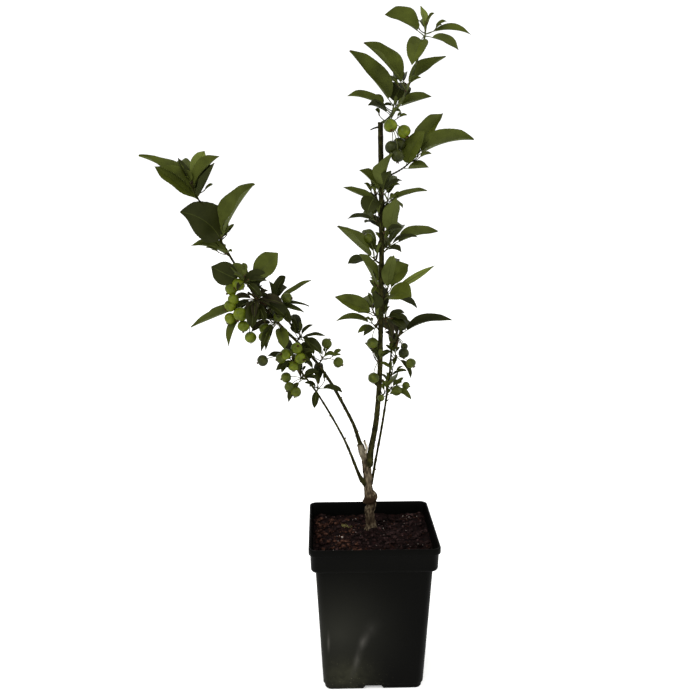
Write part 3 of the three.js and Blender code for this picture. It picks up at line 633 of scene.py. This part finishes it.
bud_dice = seeded(29)
for name, limb in limbs.items():
    points = limb["points"]
    length = sum((Vector(b) - Vector(a)).length for a, b in zip(points, points[1:]))
    finish = woods[limb["wood"]]

    def path(s, points=points):
        return curve_point(points, s)

    def thickness(s, limb=limb):
        return curve_radius(limb, s)

    if name == "trunk":
        skins = [
            tube(path, thickness, 48, round(length / 1.1), finish, old_relief),
            tube(lambda s: curve_point(SNAG_POINTS, s), lambda s: 1.9 - 1.4 * s * (1 - s), 10, 16, dead_wood,
                 young_relief),
            bud(Vector(SNAG_POINTS[2]), Vector((0.3, 0, 0.2)).normalized(), 2.4, 2.1, bud_brown),
        ]
    else:
        def collared(centre, out, foot=Vector(points[0]), collar=limb.get("collar")):
            """Young bark that swells, and shifts to one side, where the stem leaves the trunk"""
            swell = young_relief(centre, out)
            if collar:
                reach, more, shift = collar
                swell += (more + out.dot(Vector(shift))) * math.exp(-((centre - foot).length / reach) ** 2)
            return swell

        skins = [tube(path, thickness, 14, round(length / 2), finish, collared)]
        count = round(length / BUD_SPACING)
        for k in range(1, count + 1):
            t = (k + 0.6 * bud_dice() - 0.3) / (count + 0.6)
            along = (path(t + 0.005) - path(t - 0.005)).normalized()
            out = spoke(along, math.radians(BUD_TURN * k))
            way = (out + along * 0.7).normalized()
            foot = path(t) + out * (thickness(t) * 0.8)
            skins.append(bud(foot, way, drawn(BUD_LENGTH, bud_dice), 1.1, bud_brown))
        if "collar" in limb:
            foot = Vector(points[0]) + Vector(limb["collar"][2]) + Vector((0, 0, 1.2 * thickness(0)))
            down = (Vector((-0.12, 0.1, -1)) - 0.25 * (path(0.06) - path(0)).normalized()).normalized()
            skins.append(bud(foot, down, 3.6 * thickness(0), thickness(0) * 1.12, finish))
    if name == "leader":
        skins.append(tube(lambda s: curve_point(CUT_TWIG, s), lambda s: 1.3 - 0.6 * s, 8, 8, finish))
    piece = stand(name + "_bark", skins, [finish, dead_wood, bud_brown], sharp=50)
    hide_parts(name)


# Spurs: short side twigs all the way up the limbs, each with its own tuft of leaves and some with apples.
# A stem, leaf or apple is set by its heading (0 right, 90 away, 180 left, 270 to the front), its rise
# above level and its length; a leaf may also have a form of its own, and an apple a radius and a tint.
SPUR_RADII = (1.3, 1.0)
SPUR_BOW = -18
SPUR_COLLAR = 1.2
LONG_STEM = 25
LAST_LEAF = 0.96
BEHIND = ((55, 70), (5, 45), (40, 22))
TWIGLETS = 3
TWIGLET_RADII = (0.8, 0.55)
TWIGLET_LENGTH = (7, 9)
TWIGLET_LEAF = (11, 10)
DRY_LENGTH = (7, 10)
DRY_RADII = (0.32, 0.47)
# DARK and the spurs' dark tint give leaves the mature colours darkened, painted shade for leaves low and deep
# in the tree
DARK = {"tint": "dark"}
MATURE = {"tint": "mature"}
YOUNG = {"tint": "young"}
WITHERED = {"tint": "withered"}


def tuft(name, at, stem, behind, leaves=(), fill=(), fruits=(), tint="mature", dry=0, bare=None):
    """A spur at a share of the length of the limb that its name begins with, or else of the top shoot, with
    so many leaves drawn behind it, smaller ones that fill it, and so many dry stalks"""
    limb = next((limb for limb in limbs if name.startswith(limb)), "top_shoot")
    return {"name": name, "limb": limb, "at": at, "stem": stem, "behind": behind, "leaves": leaves,
            "fill": fill, "fruits": fruits, "tint": tint, "dry": dry, "bare": bare}


spurs = [
    tuft("shoot_foot", 0.31, (60, 50, 22), 1,
     leaves=[[215, 17, 40, dict(DARK, wide=0.6)], [195, 19, 65, dict(face=50, bow=24, wide=0.4)],
      [300, -4, 21, dict(wide=0.4)], [60, 42, 56, dict(DARK, bow=30, wide=0.75, fold=10)],
      [335, 14, 55, dict(face=52, bow=2, wide=0.56)],
      [170, 50, 93, dict(MATURE, face=41, bow=4, wide=0.52, fold=42, stalk=0.12)]],
     fill=[[200, 0, 15, dict(DARK, wide=0.6)]]),
    tuft("shoot_fruit", 0.17, (300, -10, 8), 0,
     fruits=[[280, -26, 11, 9.2, "bright"], [340, -31, 24, 9, "bright"], [20, -60, 32, 9.2, "dark"],
      [320, -80, 33, 9.4, "dark"], [310, -68, 47, 9, "dark"]]),
    tuft("shoot_middle", 0.66, (80, 65, 13), 2,
     leaves=[[180, 46, 80, dict(face=38, bow=10, wide=0.6, stalk=0.14)],
      [350, 34, 63, dict(face=46, bow=5, wide=0.5, stalk=0.08)]]),
    tuft("shoot_tip", 1, (60, 70, 9), 1,
     leaves=[[190, 25, 59, dict(face=55, bow=14, wide=0.8, fold=40, stalk=0.2)],
      [322, -23, 54, dict(face=42, bow=12, wide=0.46, stalk=0.2)],
      [240, -46, 57, dict(wide=0.66, fold=28, face=40, full=0.7)],
      [0, 0, 59, dict(face=46, bow=24, wide=0.34)], [40, 65, 24, dict(wide=0.3)],
      [130, 75, 35, dict(YOUNG, wide=0.5, face=0, fold=15)]]),
    tuft("leader_spur_1", 0.925, (345, 30, 51), 2,
     leaves=[[340, 2, 36, dict(bow=-2, wide=0.8, face=25)],
      [335, 60, 51, dict(wide=0.6, face=80, fold=12, stalk=0.06)],
      [25, 52, 83, dict(MATURE, face=46, wide=0.5, bow=8)],
      [345, 17, 84, dict(MATURE, face=43, bow=22, wide=0.54, stalk=0.16)]]),
    tuft("leader_spur_2", 0.895, (280, 45, 10), 2,
     leaves=[[195, 47, 48, dict(face=53, bow=14, wide=0.7)],
      [290, 60, 63, dict(MATURE, face=100, wide=0.82, bow=22, fold=32, full=0.9)],
      [300, 59, 37, dict(DARK, face=0, wide=0.7, fold=20)]], fill=[[345, 35, 33, dict(DARK, wide=0.4)]]),
    tuft("leader_spur_3", 0.885, (185, 65, 17), 1,
     leaves=[[180, 20, 49, dict(face=38, bow=-8, wide=0.4, stalk=0.1)],
      [240, -41, 36, dict(DARK, wide=1, fold=10, full=0.7)]]),
    tuft("leader_spur_4", 0.88, (345, 55, 15), 1,
     leaves=[[340, 18, 60, dict(face=44, bow=18, wide=0.3)], [50, -16, 38, dict(wide=0.4)]]),
    tuft("leader_spur_5", 0.835, (290, 45, 11), 1, leaves=[[330, 19, 29, DARK]]),
    tuft("leader_spur_6", 0.855, (170, 45, 9), 2, leaves=[[165, 5, 42, dict(DARK, bow=28, wide=0.32)]]),
    tuft("leader_spur_7", 0.79, (190, 35, 13), 2,
     leaves=[[165, -7, 41, dict(DARK, wide=0.8, face=-30, fold=10)],
      [200, 40, 71, dict(MATURE, face=30, bow=-4, wide=0.56, fold=42, stalk=0.1)]], fruits=[[150, 71, 29]]),
    tuft("leader_spur_8", 0.81, (355, 45, 15), 2,
     leaves=[[300, 0, 37, DARK], [325, 20, 51, dict(DARK, face=54, wide=0.26)],
      [350, 18, 71, dict(face=36, bow=14, wide=0.52)],
      [300, 76, 68, dict(face=0, wide=0.62, fold=15, bow=12, stalk=0.3, full=0.9)]],
     fill=[[330, 65, 26, dict(DARK, face=0, wide=0.7, fold=15)]]),
    tuft("leader_spur_9", 0.705, (330, 65, 23), 2,
     leaves=[[305, 10, 58, dict(face=80, wide=0.75, fold=15)], [25, -20, 54, dict(DARK, wide=0.5)],
      [355, 32, 79, dict(YOUNG, wide=0.16, bow=0, face=70, fold=12)],
      [20, 49, 50, dict(wide=0.8, fold=20, full=0.9)],
      [290, 68, 54, dict(face=0, wide=0.42, fold=15, stalk=0.1)]]),
    tuft("leader_spur_10", 0.735, (240, 35, 13), 1,
     leaves=[[215, 55, 57, dict(MATURE, face=60, bow=0, wide=0.64, fold=30, stalk=0.06)]],
     fill=[[230, -25, 18]]),
    tuft("leader_spur_11", 0.67, (190, 40, 13), 2,
     leaves=[[220, 75, 36, dict(DARK, wide=0.9, face=0)],
      [185, 24, 60, dict(bow=2, wide=0.52, fold=26, stalk=0.1)]]),
    tuft("leader_spur_12", 0.64, (185, 50, 10), 1,
     leaves=[[225, -15, 30, dict(DARK, bow=28, wide=0.5)], [200, -13, 30],
      [190, 9, 58, dict(face=30, bow=26, wide=0.36)]], fruits=[[215, -73, 24, 8.2]]),
    tuft("leader_spur_13", 0.665, (0, 30, 8), 1, tint="dark", dry=6,
     leaves=[[5, -10, 35, dict(wide=0.5)], [340, -28, 33, dict(wide=0.9, face=20, fold=10)]],
     fill=[[25, -18, 28], [310, 5, 28], [300, -55, 30, WITHERED], [20, 12, 30]]),
    tuft("leader_spur_14", 0.54, (230, 60, 10), 1, leaves=[[210, 55, 22, dict(DARK, wide=0.7)]],
     fill=[[330, -20, 20], [30, 30, 26, DARK]], fruits=[[215, -70, 23]]),
    tuft("leader_spur_15", 0.43, (320, 45, 11), 1, fruits=[[250, -10, 8, 5]]),
    tuft("right_stem_tip", 1, (10, 60, 19), 2, tint="dark", dry=8,
     leaves=[[150, 38, 23, dict(WITHERED, wide=0.9, face=0)],
      [350, 19, 82, dict(face=37, bow=26, wide=0.36, fold=45)]],
     fill=[[310, 34, 16, WITHERED], [200, 60, 22, dict(WITHERED, wide=0.8)]],
     fruits=[[25, -52, 18, 5.5, "dark"], [330, -66, 24, 8, "dark"]]),
    tuft("right_stem_spur_1", 0.875, (355, 40, 10), 1, leaves=[[350, -55, 38, dict(DARK, wide=0.4)]],
     fruits=[[335, -18, 24]]),
    tuft("right_stem_spur_2", 0.74, (340, 50, 6), 0, leaves=[[20, 12, 14], [230, 44, 26]]),
    tuft("right_stem_spur_3", 0.65, (350, 40, 7), 1, leaves=[[340, -22, 34], [40, 14, 24]],
     fruits=[[300, 0, 14], [355, 12, 22, 6]]),
    tuft("left_bough_tip", 1, (200, 65, 31), 2, bare=0.12,
     leaves=[[190, 38, 69, dict(MATURE, wide=0.6, bow=2, fold=30, stalk=0.04)],
      [330, 56, 52, dict(DARK, wide=0.6, stalk=0.04, bow=-6)],
      [180, 34, 85, dict(face=34, wide=0.34, fold=40, stalk=0.06)],
      [335, 48, 58, dict(MATURE, face=60, wide=0.56, stalk=0.06)],
      [165, 62, 42, dict(DARK, bow=2, wide=0.36)],
      [60, 56, 50, dict(YOUNG, face=90, fold=15, wide=0.52)]]),
    tuft("left_bough_spur_1", 0.81, (262, 50, 9), 1,
     leaves=[[205, 35, 66, dict(bow=30, wide=0.84, fold=10, face=80, full=0.7, stalk=0.03)],
      [345, 56, 85, dict(MATURE, face=48, wide=0.6, bow=10, stalk=0.12)]]),
    tuft("left_bough_spur_2", 0.765, (240, 25, 8), 0,
     leaves=[[195, 16, 49, dict(face=37, bow=20, wide=0.46, full=0.62, stalk=0.05)], [305, 12, 16]]),
    tuft("left_bough_spur_3", 0.68, (262, 10, 10), 0, dry=10,
     leaves=[[350, 43, 60, dict(MATURE, bow=-4, face=75, fold=12, wide=0.68, full=1.1)],
      [200, 48, 32, dict(MATURE, wide=0.9, fold=15, stalk=0.05)],
      [350, 16, 32, dict(DARK, face=80, fold=10, wide=0.7, stalk=0.05)],
      [190, 27, 49, dict(DARK, bow=-4, face=85, fold=12, wide=0.84, full=0.95)]],
     fill=[[350, 5, 30, DARK], [320, -35, 34, DARK], [250, -20, 26, WITHERED]],
     fruits=[[215, -11, 10, 8.4, "bright"], [190, -24, 20, 8.6, "bright"], [210, -50, 27, 7.6, "bright"]]),
    tuft("left_bough_spur_4", 0.628, (258, 8, 16), 1, tint="dark", dry=42,
     leaves=[[200, -56, 73, dict(MATURE, face=22, wide=0.36)],
      [188, -21, 95, dict(MATURE, face=29, bow=2, wide=0.3)],
      [165, -18, 80, dict(MATURE, face=37, bow=3, wide=0.26)], [345, -31, 54], [340, -5, 40, WITHERED],
      [160, -40, 40, dict(wide=0.7)], [262, -55, 42, dict(wide=0.7)]],
     fill=[[0, 63, 22], [330, 32, 25, WITHERED], [230, -42, 24, WITHERED], [300, -72, 25],
      [200, 5, 30, WITHERED], [270, -45, 30, WITHERED], [320, -60, 34], [300, 20, 24, WITHERED],
      [250, 20, 26, WITHERED], [285, -20, 22, WITHERED], [295, -60, 30, dict(wide=0.4)],
      [330, -15, 24, WITHERED], [270, 45, 20, WITHERED], [255, -75, 22, WITHERED]],
     fruits=[[190, -12, 34, 8, "bright"], [212, -38, 28, 9.8, "bright"], [185, -36, 41, 8, "bright"],
      [210, -62, 38, 8, "bright"], [230, -78, 50, 8, "bright"]]),
    tuft("left_bough_spur_5", 0.59, (20, 50, 14), 2, tint="dark", dry=8,
     leaves=[[340, -4, 50, dict(wide=0.26)], [355, 2, 52, dict(face=30, bow=20, wide=0.22)],
      [0, 33, 65, dict(MATURE, face=32, bow=5, wide=0.26)], [240, 76, 34], [320, -40, 40]],
     fill=[[215, -25, 30, WITHERED], [285, -30, 32, WITHERED], [200, 20, 30]], fruits=[[340, 22, 21]]),
    tuft("left_bough_spur_6", 0.545, (250, 25, 12), 1, dry=8,
     leaves=[[290, -48, 40, dict(wide=0.66)], [160, 15, 24, DARK], [215, -62, 40, dict(DARK, wide=0.3)],
      [330, -60, 34, dict(DARK, wide=0.4)], [250, -31, 61, dict(DARK, wide=0.3)]],
     fill=[[190, -20, 36, WITHERED], [300, 20, 34, dict(DARK, wide=0.6)],
      [225, 10, 34, dict(DARK, wide=0.6)]],
     fruits=[[215, -23, 19, 8.2, "bright"], [240, -28, 33, 8], [290, 43, 13]]),
    tuft("left_bough_spur_7", 0.485, (20, 45, 9), 1, tint="dark",
     leaves=[[330, -26, 40], [345, 8, 38, dict(wide=0.24)], [10, 43, 26, dict(wide=0.4)],
      [130, 35, 25, dict(face=80, wide=0.66)], [310, -75, 38, dict(wide=0.7)]],
     fill=[[350, -35, 30], [300, -20, 26]]),
    tuft("left_bough_spur_8", 0.4, (10, 55, 10), 1, leaves=[[320, 15, 26]],
     fruits=[[350, -11, 23], [30, 70, 22]]),
    tuft("low_stem_tip", 1, (200, 65, 18), 1, tint="dark", dry=5,
     leaves=[[200, -8, 30, dict(wide=0.6)], [170, 11, 40, dict(wide=0.4)], [30, 40, 27]],
     fill=[[210, -40, 26], [320, 0, 28], [350, 25, 30], [20, -30, 30, dict(wide=0.6)]],
     fruits=[[190, 0, 43, 8, "dark"], [200, 9, 19, 7.6], [250, -66, 9, 8, "bright"],
      [215, 32, 16, 8, "bright"], [310, 14, 13, 8, "bright"], [290, 60, 19, 8, "bright"]]),
    tuft("low_stem_spur_1", 0.91, (200, 10, 8), 1, tint="dark",
     leaves=[[215, -50, 38, dict(wide=0.4)], [10, 20, 25, dict(wide=0.7)]],
     fill=[[140, 56, 16], [30, -10, 26]], fruits=[[225, -56, 20], [200, -30, 20], [180, 5, 21]]),
    tuft("low_stem_spur_2", 0.79, (340, 70, 7), 1, tint="dark",
     leaves=[[10, -11, 36], [160, 18, 20], [110, 82, 22]], fill=[[250, -60, 30, dict(wide=0.6)]]),
]


def arc(foot, heading, rise, length, bow):
    """Arc in the upright plane of its heading: place, direction, side and upper face at a share of it"""
    turn = math.radians(heading)
    lean = math.radians(rise)
    bend = math.radians(1 if abs(bow) < 1 else bow)
    run = length * bend / math.sin(bend)
    level = Vector((math.cos(turn), math.sin(turn), 0))
    side = Vector((-math.sin(turn), math.cos(turn), 0))

    def at(s):
        slope = lean + bend * (1 - 2 * s)
        reach = run * (math.sin(lean + bend) - math.sin(slope)) / (2 * bend)
        high = run * (math.cos(slope) - math.cos(lean + bend)) / (2 * bend)
        along = level * math.cos(slope) + Vector((0, 0, math.sin(slope)))
        return foot + level * reach + Vector((0, 0, high)), along, side, along.cross(side)
    return at


def twig(line, radii, sides, steps, finish, bud_size, bud_finish, relief_at=None):
    """Skins of a tapered twig along an arc, and of the bud of a length and a radius at its end"""
    bar = tube(lambda s: line(s)[0], lambda s: blend(*radii, s), sides, steps, finish, relief_at)
    return [bar, bud(*line(1)[:2], *bud_size, bud_finish)]


def spur_relief(centre, out):
    """Ringed bark of slow side growth"""
    return 0.22 * math.sin(centre.z * 2.4 + centre.x * 1.7) + 0.2 * noise.noise((centre + out) / 1.5)


# Leaves: thin and finely toothed, folded along a pale midrib and arched to a drawn-out tip, on a slim green
# stalk. They are glossier and darker above than below, and the youngest are a light yellow green.
PETIOLE_SHARE = 0.22
PETIOLE_LIMIT = 16
LEAF_BOW = (9, 16)
LEAF_SAG = 8
LEAF_WIDE = (0.46, 0.12)
LEAF_FOLD = (34, 12)
LEAF_FACE = (42, 12)
LEAF_TWIST = (-18, 36)
LEAF_FULL = 0.84
LEAF_THICKNESS = 0.3
LEAF_WAVE = (0.008, 0.022)
LEAF_STALK_RADIUS = (0.45, 0.004)
TIP_DRAWN_OUT = 0.78
RIB_WIDTH = 0.5
RIB_DEPTH = 0.6
RIB_COLUMNS = (3, 10)
TOP_COLUMNS = 7
TOOTH = 0.012
VEIN_LIFT = 0.12
VEIN_SWEEP = 0.55
BLADE_COLUMNS = (1, 0.76, 0.42, 0)
LARGE_LEAF = 34
SCORCHED_FROM = 30
SCORCHED_SHARE = 0.3
# Share of the other leaves given the dark tint, painted shade, at random
DARK_SHARE = 0.14
FULL_TURN = 6.3


def leaf_skin(name, low, high, gloss, roughness):
    return new_finish(name, roughness, gloss,
                      lambda tree: tones(tree, grain(tree, 16), [(0.2, low), (0.8, high)]), (1.3,), 0.12)


leaf_tints = {
    tint: (leaf_skin("leaf_" + tint + "_top", *top), leaf_skin("leaf_" + tint + "_under", *under))
    for tint, top, under in (
        ("mature", ("#2f340c", "#454c18", 0.06, 0.45), ("#393e1a", "#4b5226", 0.03, 0.7)),
        # The dark tint is a darker copy of the mature tint, painted shade
        ("dark", ("#1b1e08", "#272a0d", 0.05, 0.45), ("#222610", "#2e3216", 0.03, 0.7)),
        ("young", ("#484f1c", "#5b6428", 0.07, 0.45), ("#50572a", "#636b36", 0.04, 0.7)),
        ("withered", ("#1c1a10", "#302d1c", 0.03, 0.7), ("#232115", "#3a3624", 0.02, 0.8)),
    )
}
leaf_rib = leaf_skin("leaf_rib", "#2d3211", "#40461d", 0.05, 0.6)
leaf_stalk = leaf_skin("leaf_stalk", "#33371a", "#4b5026", 0.08, 0.5)
leaf_scorch = leaf_skin("leaf_scorch", "#21160b", "#4a3a1c", 0.05, 0.7)


def leaf(foot, heading, rise, length, form, dice, fine, tint):
    """Skins of one leaf, its toothed blade and its stalk. Its form may set its bow, how wide and full it is,
    how far it folds and to which side it faces, its stalk's share of its length, and its tint"""
    own = {"bow": drawn(LEAF_BOW, dice) + LEAF_SAG * math.cos(math.radians(rise))}
    own |= {"wide": drawn(LEAF_WIDE, dice), "fold": drawn(LEAF_FOLD, dice), "face": drawn(LEAF_FACE, dice)}
    twist = drawn(LEAF_TWIST, dice)
    own |= {"tint": tint, "full": LEAF_FULL, "stalk": min(PETIOLE_SHARE, PETIOLE_LIMIT / length)}
    own |= form
    top, under = leaf_tints[own["tint"]]
    fold = math.radians(own["fold"])
    stalk = own["stalk"]
    size = length * (1 - stalk)
    at = arc(foot, heading, rise, length, own["bow"])
    waves = 1.2 + fine()
    phases = (FULL_TURN * fine(), FULL_TURN * fine())
    wave = size * drawn(LEAF_WAVE, fine)
    scorched = fine() < SCORCHED_SHARE and length > SCORCHED_FROM

    def spot(v, side_sign, share, sheet):
        """One point of the blade: how far along, on which side, how far from the rib and on which face"""
        reach = v + VEIN_SWEEP * share * v * (1 - v)
        s = stalk + (1 - stalk) * reach
        centre, _, side, normal = at(s)
        roll = math.radians(own["face"] * math.cos(math.radians(heading)) + twist * (s - 0.5))
        half = math.sin(math.pi * reach ** own["full"]) ** 0.66 * own["wide"] * size / 2
        half *= 1 - 0.5 * max(0, (reach - TIP_DRAWN_OUT) / (1 - TIP_DRAWN_OUT)) ** 1.2
        if share == 0:
            x = min(RIB_WIDTH * (1.1 - 0.7 * v), 0.5 * half)
            lift = -0.15 if sheet > 0 else -RIB_DEPTH * (1.1 - v)
        else:
            x = half * share * math.cos(fold)
            lift = half * share ** 1.2 * math.sin(fold)
            lift += wave * share ** 2 * math.sin(FULL_TURN * waves * reach + phases[side_sign > 0])
            lift += (0 if share == 1 else 0.5 * sheet * LEAF_THICKNESS)
        aside = (side * math.cos(roll) + normal * math.sin(roll)) * (x * side_sign)
        return centre, aside, (normal * math.cos(roll) - side * math.sin(roll)) * lift

    around = [(1, 1, share) for share in BLADE_COLUMNS]
    around += [(-1, 1, share) for share in BLADE_COLUMNS[::-1]]
    around += [(-1, -1, share) for share in BLADE_COLUMNS[1:]]
    around += [(1, -1, share) for share in BLADE_COLUMNS[:0:-1]]
    steps = 30 if length > LARGE_LEAF else 14
    rings = []
    for i in range(steps):
        raised = 1 if i % 2 else -1
        ring = []
        for side_sign, sheet, share in around:
            centre, aside, lift = spot(0.012 + 0.976 * i / (steps - 1), side_sign, share, sheet)
            if share == 1:
                aside = aside * (1 + raised * TOOTH)
            elif share > 0:
                lift = lift + lift.normalized() * raised * VEIN_LIFT * (1 - share)
            ring.append(centre + aside + lift)
        rings.append(ring)
    rings.append([at(1)[0]])
    points, faces, _ = skin(rings)
    shown = []
    for i in range(len(around) * steps):
        row, column = divmod(i, len(around))
        if scorched and row > steps - 3:
            shown.append(leaf_scorch)
        elif column in RIB_COLUMNS:
            shown.append(leaf_rib)
        else:
            shown.append(top if column < TOP_COLUMNS else under)
    shown.append(under)
    radius = LEAF_STALK_RADIUS[0] + LEAF_STALK_RADIUS[1] * length
    stem = tube(lambda s: at(s * (stalk + 0.03))[0], lambda s: radius * (1.25 - 0.45 * math.sin(1.5 * s)),
                6, 6, leaf_stalk)
    return [(points, faces, shown), stem]


# Crab apples: small hard round fruit, green and a little yellow where they ripen, each hanging from a thin
# stalk and ending in the dry crown of its flower. Old flower stalks without fruit stand dry among them.
FRUIT_RADIUS = 7.7
FRUIT_SPREAD = 0.8
STALK_BOW = 24
STALK_RADIUS = 0.55
APPLE_SIDES = 18
APPLE_HEIGHT = 0.95
SEPALS = 5
SEPAL_TURN = 1.257
apple_profile = [
    (0.07, -0.78), (0.2, -0.87), (0.42, -0.88), (0.66, -0.7), (0.86, -0.44), (0.98, -0.1), (0.99, 0.2),
    (0.9, 0.5), (0.7, 0.76), (0.45, 0.92), (0.24, 0.95), (0.12, 0.9),
]


def apple_skin(name, low, middle, high):
    def colours(tree):
        colour = tones(tree, grain(tree, 8, layers=4), [(0.3, low), (0.5, middle), (0.72, high)])
        spots = tones(tree, grain(tree, 1.1, layers=1), [(0.66, "#000000"), (0.72, "#ffffff")])
        return over(tree, colour, "#6a713c", times(tree, spots, 0.35))
    return new_finish(name, 0.4, 0.1, colours, (2.5,), 0.1)


# The bright tint is the green one lit, painted light, and the dark tint the green one shaded, painted shade,
# for apples in the light and in shadow
apple_tints = {
    "green": apple_skin("apple_green", "#293007", "#373e0a", "#484f13"),
    "bright": apple_skin("apple_painted_light", "#353c05", "#454f09", "#5a6313"),
    "dark": apple_skin("apple_painted_shade", "#191d06", "#222608", "#30340f"),
}
dry_stalk = bark("dry_stalk", "#1d140b", "#3a2a18", "#5a4529", 2, 0.1, (1, 1, 1), 0.05)


def apple(centre, way, radius, finish, fine):
    """Skins of one apple: the fruit and the dry crown at its end"""
    seed = Vector((fine(), fine(), fine())) * 50
    rings = [[centre - way * radius * 0.74]]
    for width, height in apple_profile:
        ring = []
        for k in range(APPLE_SIDES):
            out = spoke(way, 2 * math.pi * k / APPLE_SIDES)
            dent = 1 + 0.05 * noise.noise(seed + out * width + way * height)
            ring.append(centre + (out * width + way * (APPLE_HEIGHT * height)) * (radius * dent))
        rings.append(ring)
    rings.append([centre + way * radius * 0.8])
    skins = [skin(rings, finish)]
    for k in range(SEPALS):
        out = spoke(way, SEPAL_TURN * k + fine())
        foot = centre + way * (radius * 0.86) + out * (radius * 0.1)
        spread = (way + out * (0.9 * fine())).normalized()
        skins.append(bud(foot, spread, radius * 0.36, radius * 0.1, dry_stalk))
    return skins


blade_finishes = [finish for pair in leaf_tints.values() for finish in pair]
for limb_name, limb in limbs.items():
    leaves, twigs, apples, stood_for, fruit_for = [], [], [], [], []
    for i, spur in enumerate(spurs):
        if spur["limb"] != limb_name:
            continue
        stood_for.append(spur["name"])
        if spur["fruits"]:
            fruit_for.append(spur["name"])
        seed = 100 * (i + 1)
        dice = seeded(seed)
        fine = seeded(seed + 51)
        heading, rise, length = spur["stem"]
        stem = arc(curve_point(limb["points"], spur["at"]), heading, rise, length, SPUR_BOW)
        bare = spur["bare"]
        if bare is None:
            bare = 0.5 if length > LONG_STEM else (curve_radius(limb, spur["at"]) + SPUR_COLLAR) / length
        listed = [*spur["leaves"]]
        listed += [[drawn(spread, dice) for spread in BEHIND] for k in range(spur["behind"])]
        listed += spur["fill"]
        wood = woods[limb["wood"]]
        steps = max(6, round(length / 1.5))
        twigs += twig(stem, SPUR_RADII, 8, steps, wood, (3.6, 1.3), bud_brown, spur_relief)
        tint = spur["tint"]
        for k, (turn, up, reach, *form) in enumerate(listed):
            base = stem(blend(bare, LAST_LEAF, (k + 1) / max(len(spur["leaves"]), k + 1)))[0]
            own_tint = tint if fine() > DARK_SHARE else "dark"
            form = form[0] if form else {}
            leaves += leaf(base, turn, up, reach, form, seeded(seed + k + 1), fine, own_tint)
        for k in range(TWIGLETS):
            start = stem(blend(bare, 1, 0.3 + 0.6 * fine()))[0]
            turn, up = 360 * fine(), 10 + 60 * fine()
            side_twig = arc(start, turn, up, drawn(TWIGLET_LENGTH, fine), SPUR_BOW)
            twigs += twig(side_twig, TWIGLET_RADII, 6, 6, wood, (2.8, 0.9), bud_brown)
            for j in range(2):
                leaves += leaf(side_twig(0.95)[0], turn + 110 * (fine() - 0.5), up + 40 * (fine() - 0.3),
                               drawn(TWIGLET_LEAF, fine), {}, fine, fine, tint)
        for turn, up, reach, *own in spur["fruits"]:
            radius = own[0] if own else FRUIT_RADIUS + FRUIT_SPREAD * (dice() - 0.5)
            stalk = arc(stem(LAST_LEAF)[0], turn, up, reach, STALK_BOW)
            twigs.append(tube(lambda s: stalk(s)[0], lambda s: STALK_RADIUS * (1 + 0.5 * s ** 6), 6, 10,
                              leaf_stalk))
            tone = own[1] if len(own) > 1 else "green"
            apples += apple(stalk(1)[0], stalk(1)[1], radius, apple_tints[tone], fine)
        for k in range(spur["dry"]):
            start = stem(0.6 + 0.4 * fine())[0]
            stalk = arc(start, 360 * fine(), 150 * fine() - 75, drawn(DRY_LENGTH, fine), 40 * fine() - 20)
            twigs += twig(stalk, DRY_RADII, 5, 6, dry_stalk, (2.6, 0.9), dry_stalk)
    for kind, skins, finishes, nodes, slot in (
        ("leaves", leaves, [*blade_finishes, leaf_rib, leaf_stalk, leaf_scorch], stood_for, "foliage"),
        ("twigs", twigs, [*woods.values(), bud_brown, leaf_stalk, dry_stalk], stood_for, "young_bark"),
        ("apples", apples, [*apple_tints.values(), dry_stalk], fruit_for, "fruit"),
    ):
        if nodes:
            piece = stand(limb_name + "_" + kind, skins, finishes, sharp=60)
            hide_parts(*nodes)


# Studio: a plain white floor and white surroundings, with one broad soft light from the upper left
# and a weaker one from the right. None of it is part of the tree.
FLOOR_REACH = 9

floor_white = new_finish("studio_white", 0.8, 0.1,
                         lambda tree: tones(tree, grain(tree, 900), [(0.2, "#f4f4f2"), (0.8, "#fbfbf9")]))
floor_shader = floor_white.node_tree.nodes["Principled BSDF"]
floor_shader.inputs["Emission Color"].default_value = (1, 1, 1, 1)
floor_shader.inputs["Emission Strength"].default_value = 0.3
floor_mesh = bpy.data.meshes.new("studio_floor")
corners = [(FLOOR_REACH * x, FLOOR_REACH * y, 0) for x, y in ((-1, -1), (1, -1), (1, 1), (-1, 1))]
floor_mesh.from_pydata(corners, [], [(0, 1, 2, 3)])
floor_mesh.materials.append(floor_white)
floor = bpy.data.objects.new("studio_floor", floor_mesh)
bpy.context.scene.collection.objects.link(floor)

surroundings = bpy.data.worlds.new("studio_surroundings")
surroundings.use_nodes = True
surroundings.node_tree.nodes["Background"].inputs["Color"].default_value = (1, 1, 1, 1)
surroundings.node_tree.nodes["Background"].inputs["Strength"].default_value = 1.2
bpy.context.scene.world = surroundings

for name, place, width, power in (
    ("key_light", (-1.5, -1.7, 2.4), 1.8, 40),
    ("side_light", (1.9, -0.9, 1.3), 1.2, 10),
):
    lamp = bpy.data.lights.new(name, "AREA")
    lamp.size = width
    lamp.energy = power
    stood = bpy.data.objects.new(name, lamp)
    stood.location = place
    stood.rotation_euler = (Vector((0, 0, 0.45)) - Vector(place)).to_track_quat("-Z", "Y").to_euler()
    bpy.context.scene.collection.objects.link(stood)

bpy.context.scene.view_settings.view_transform = "Standard"
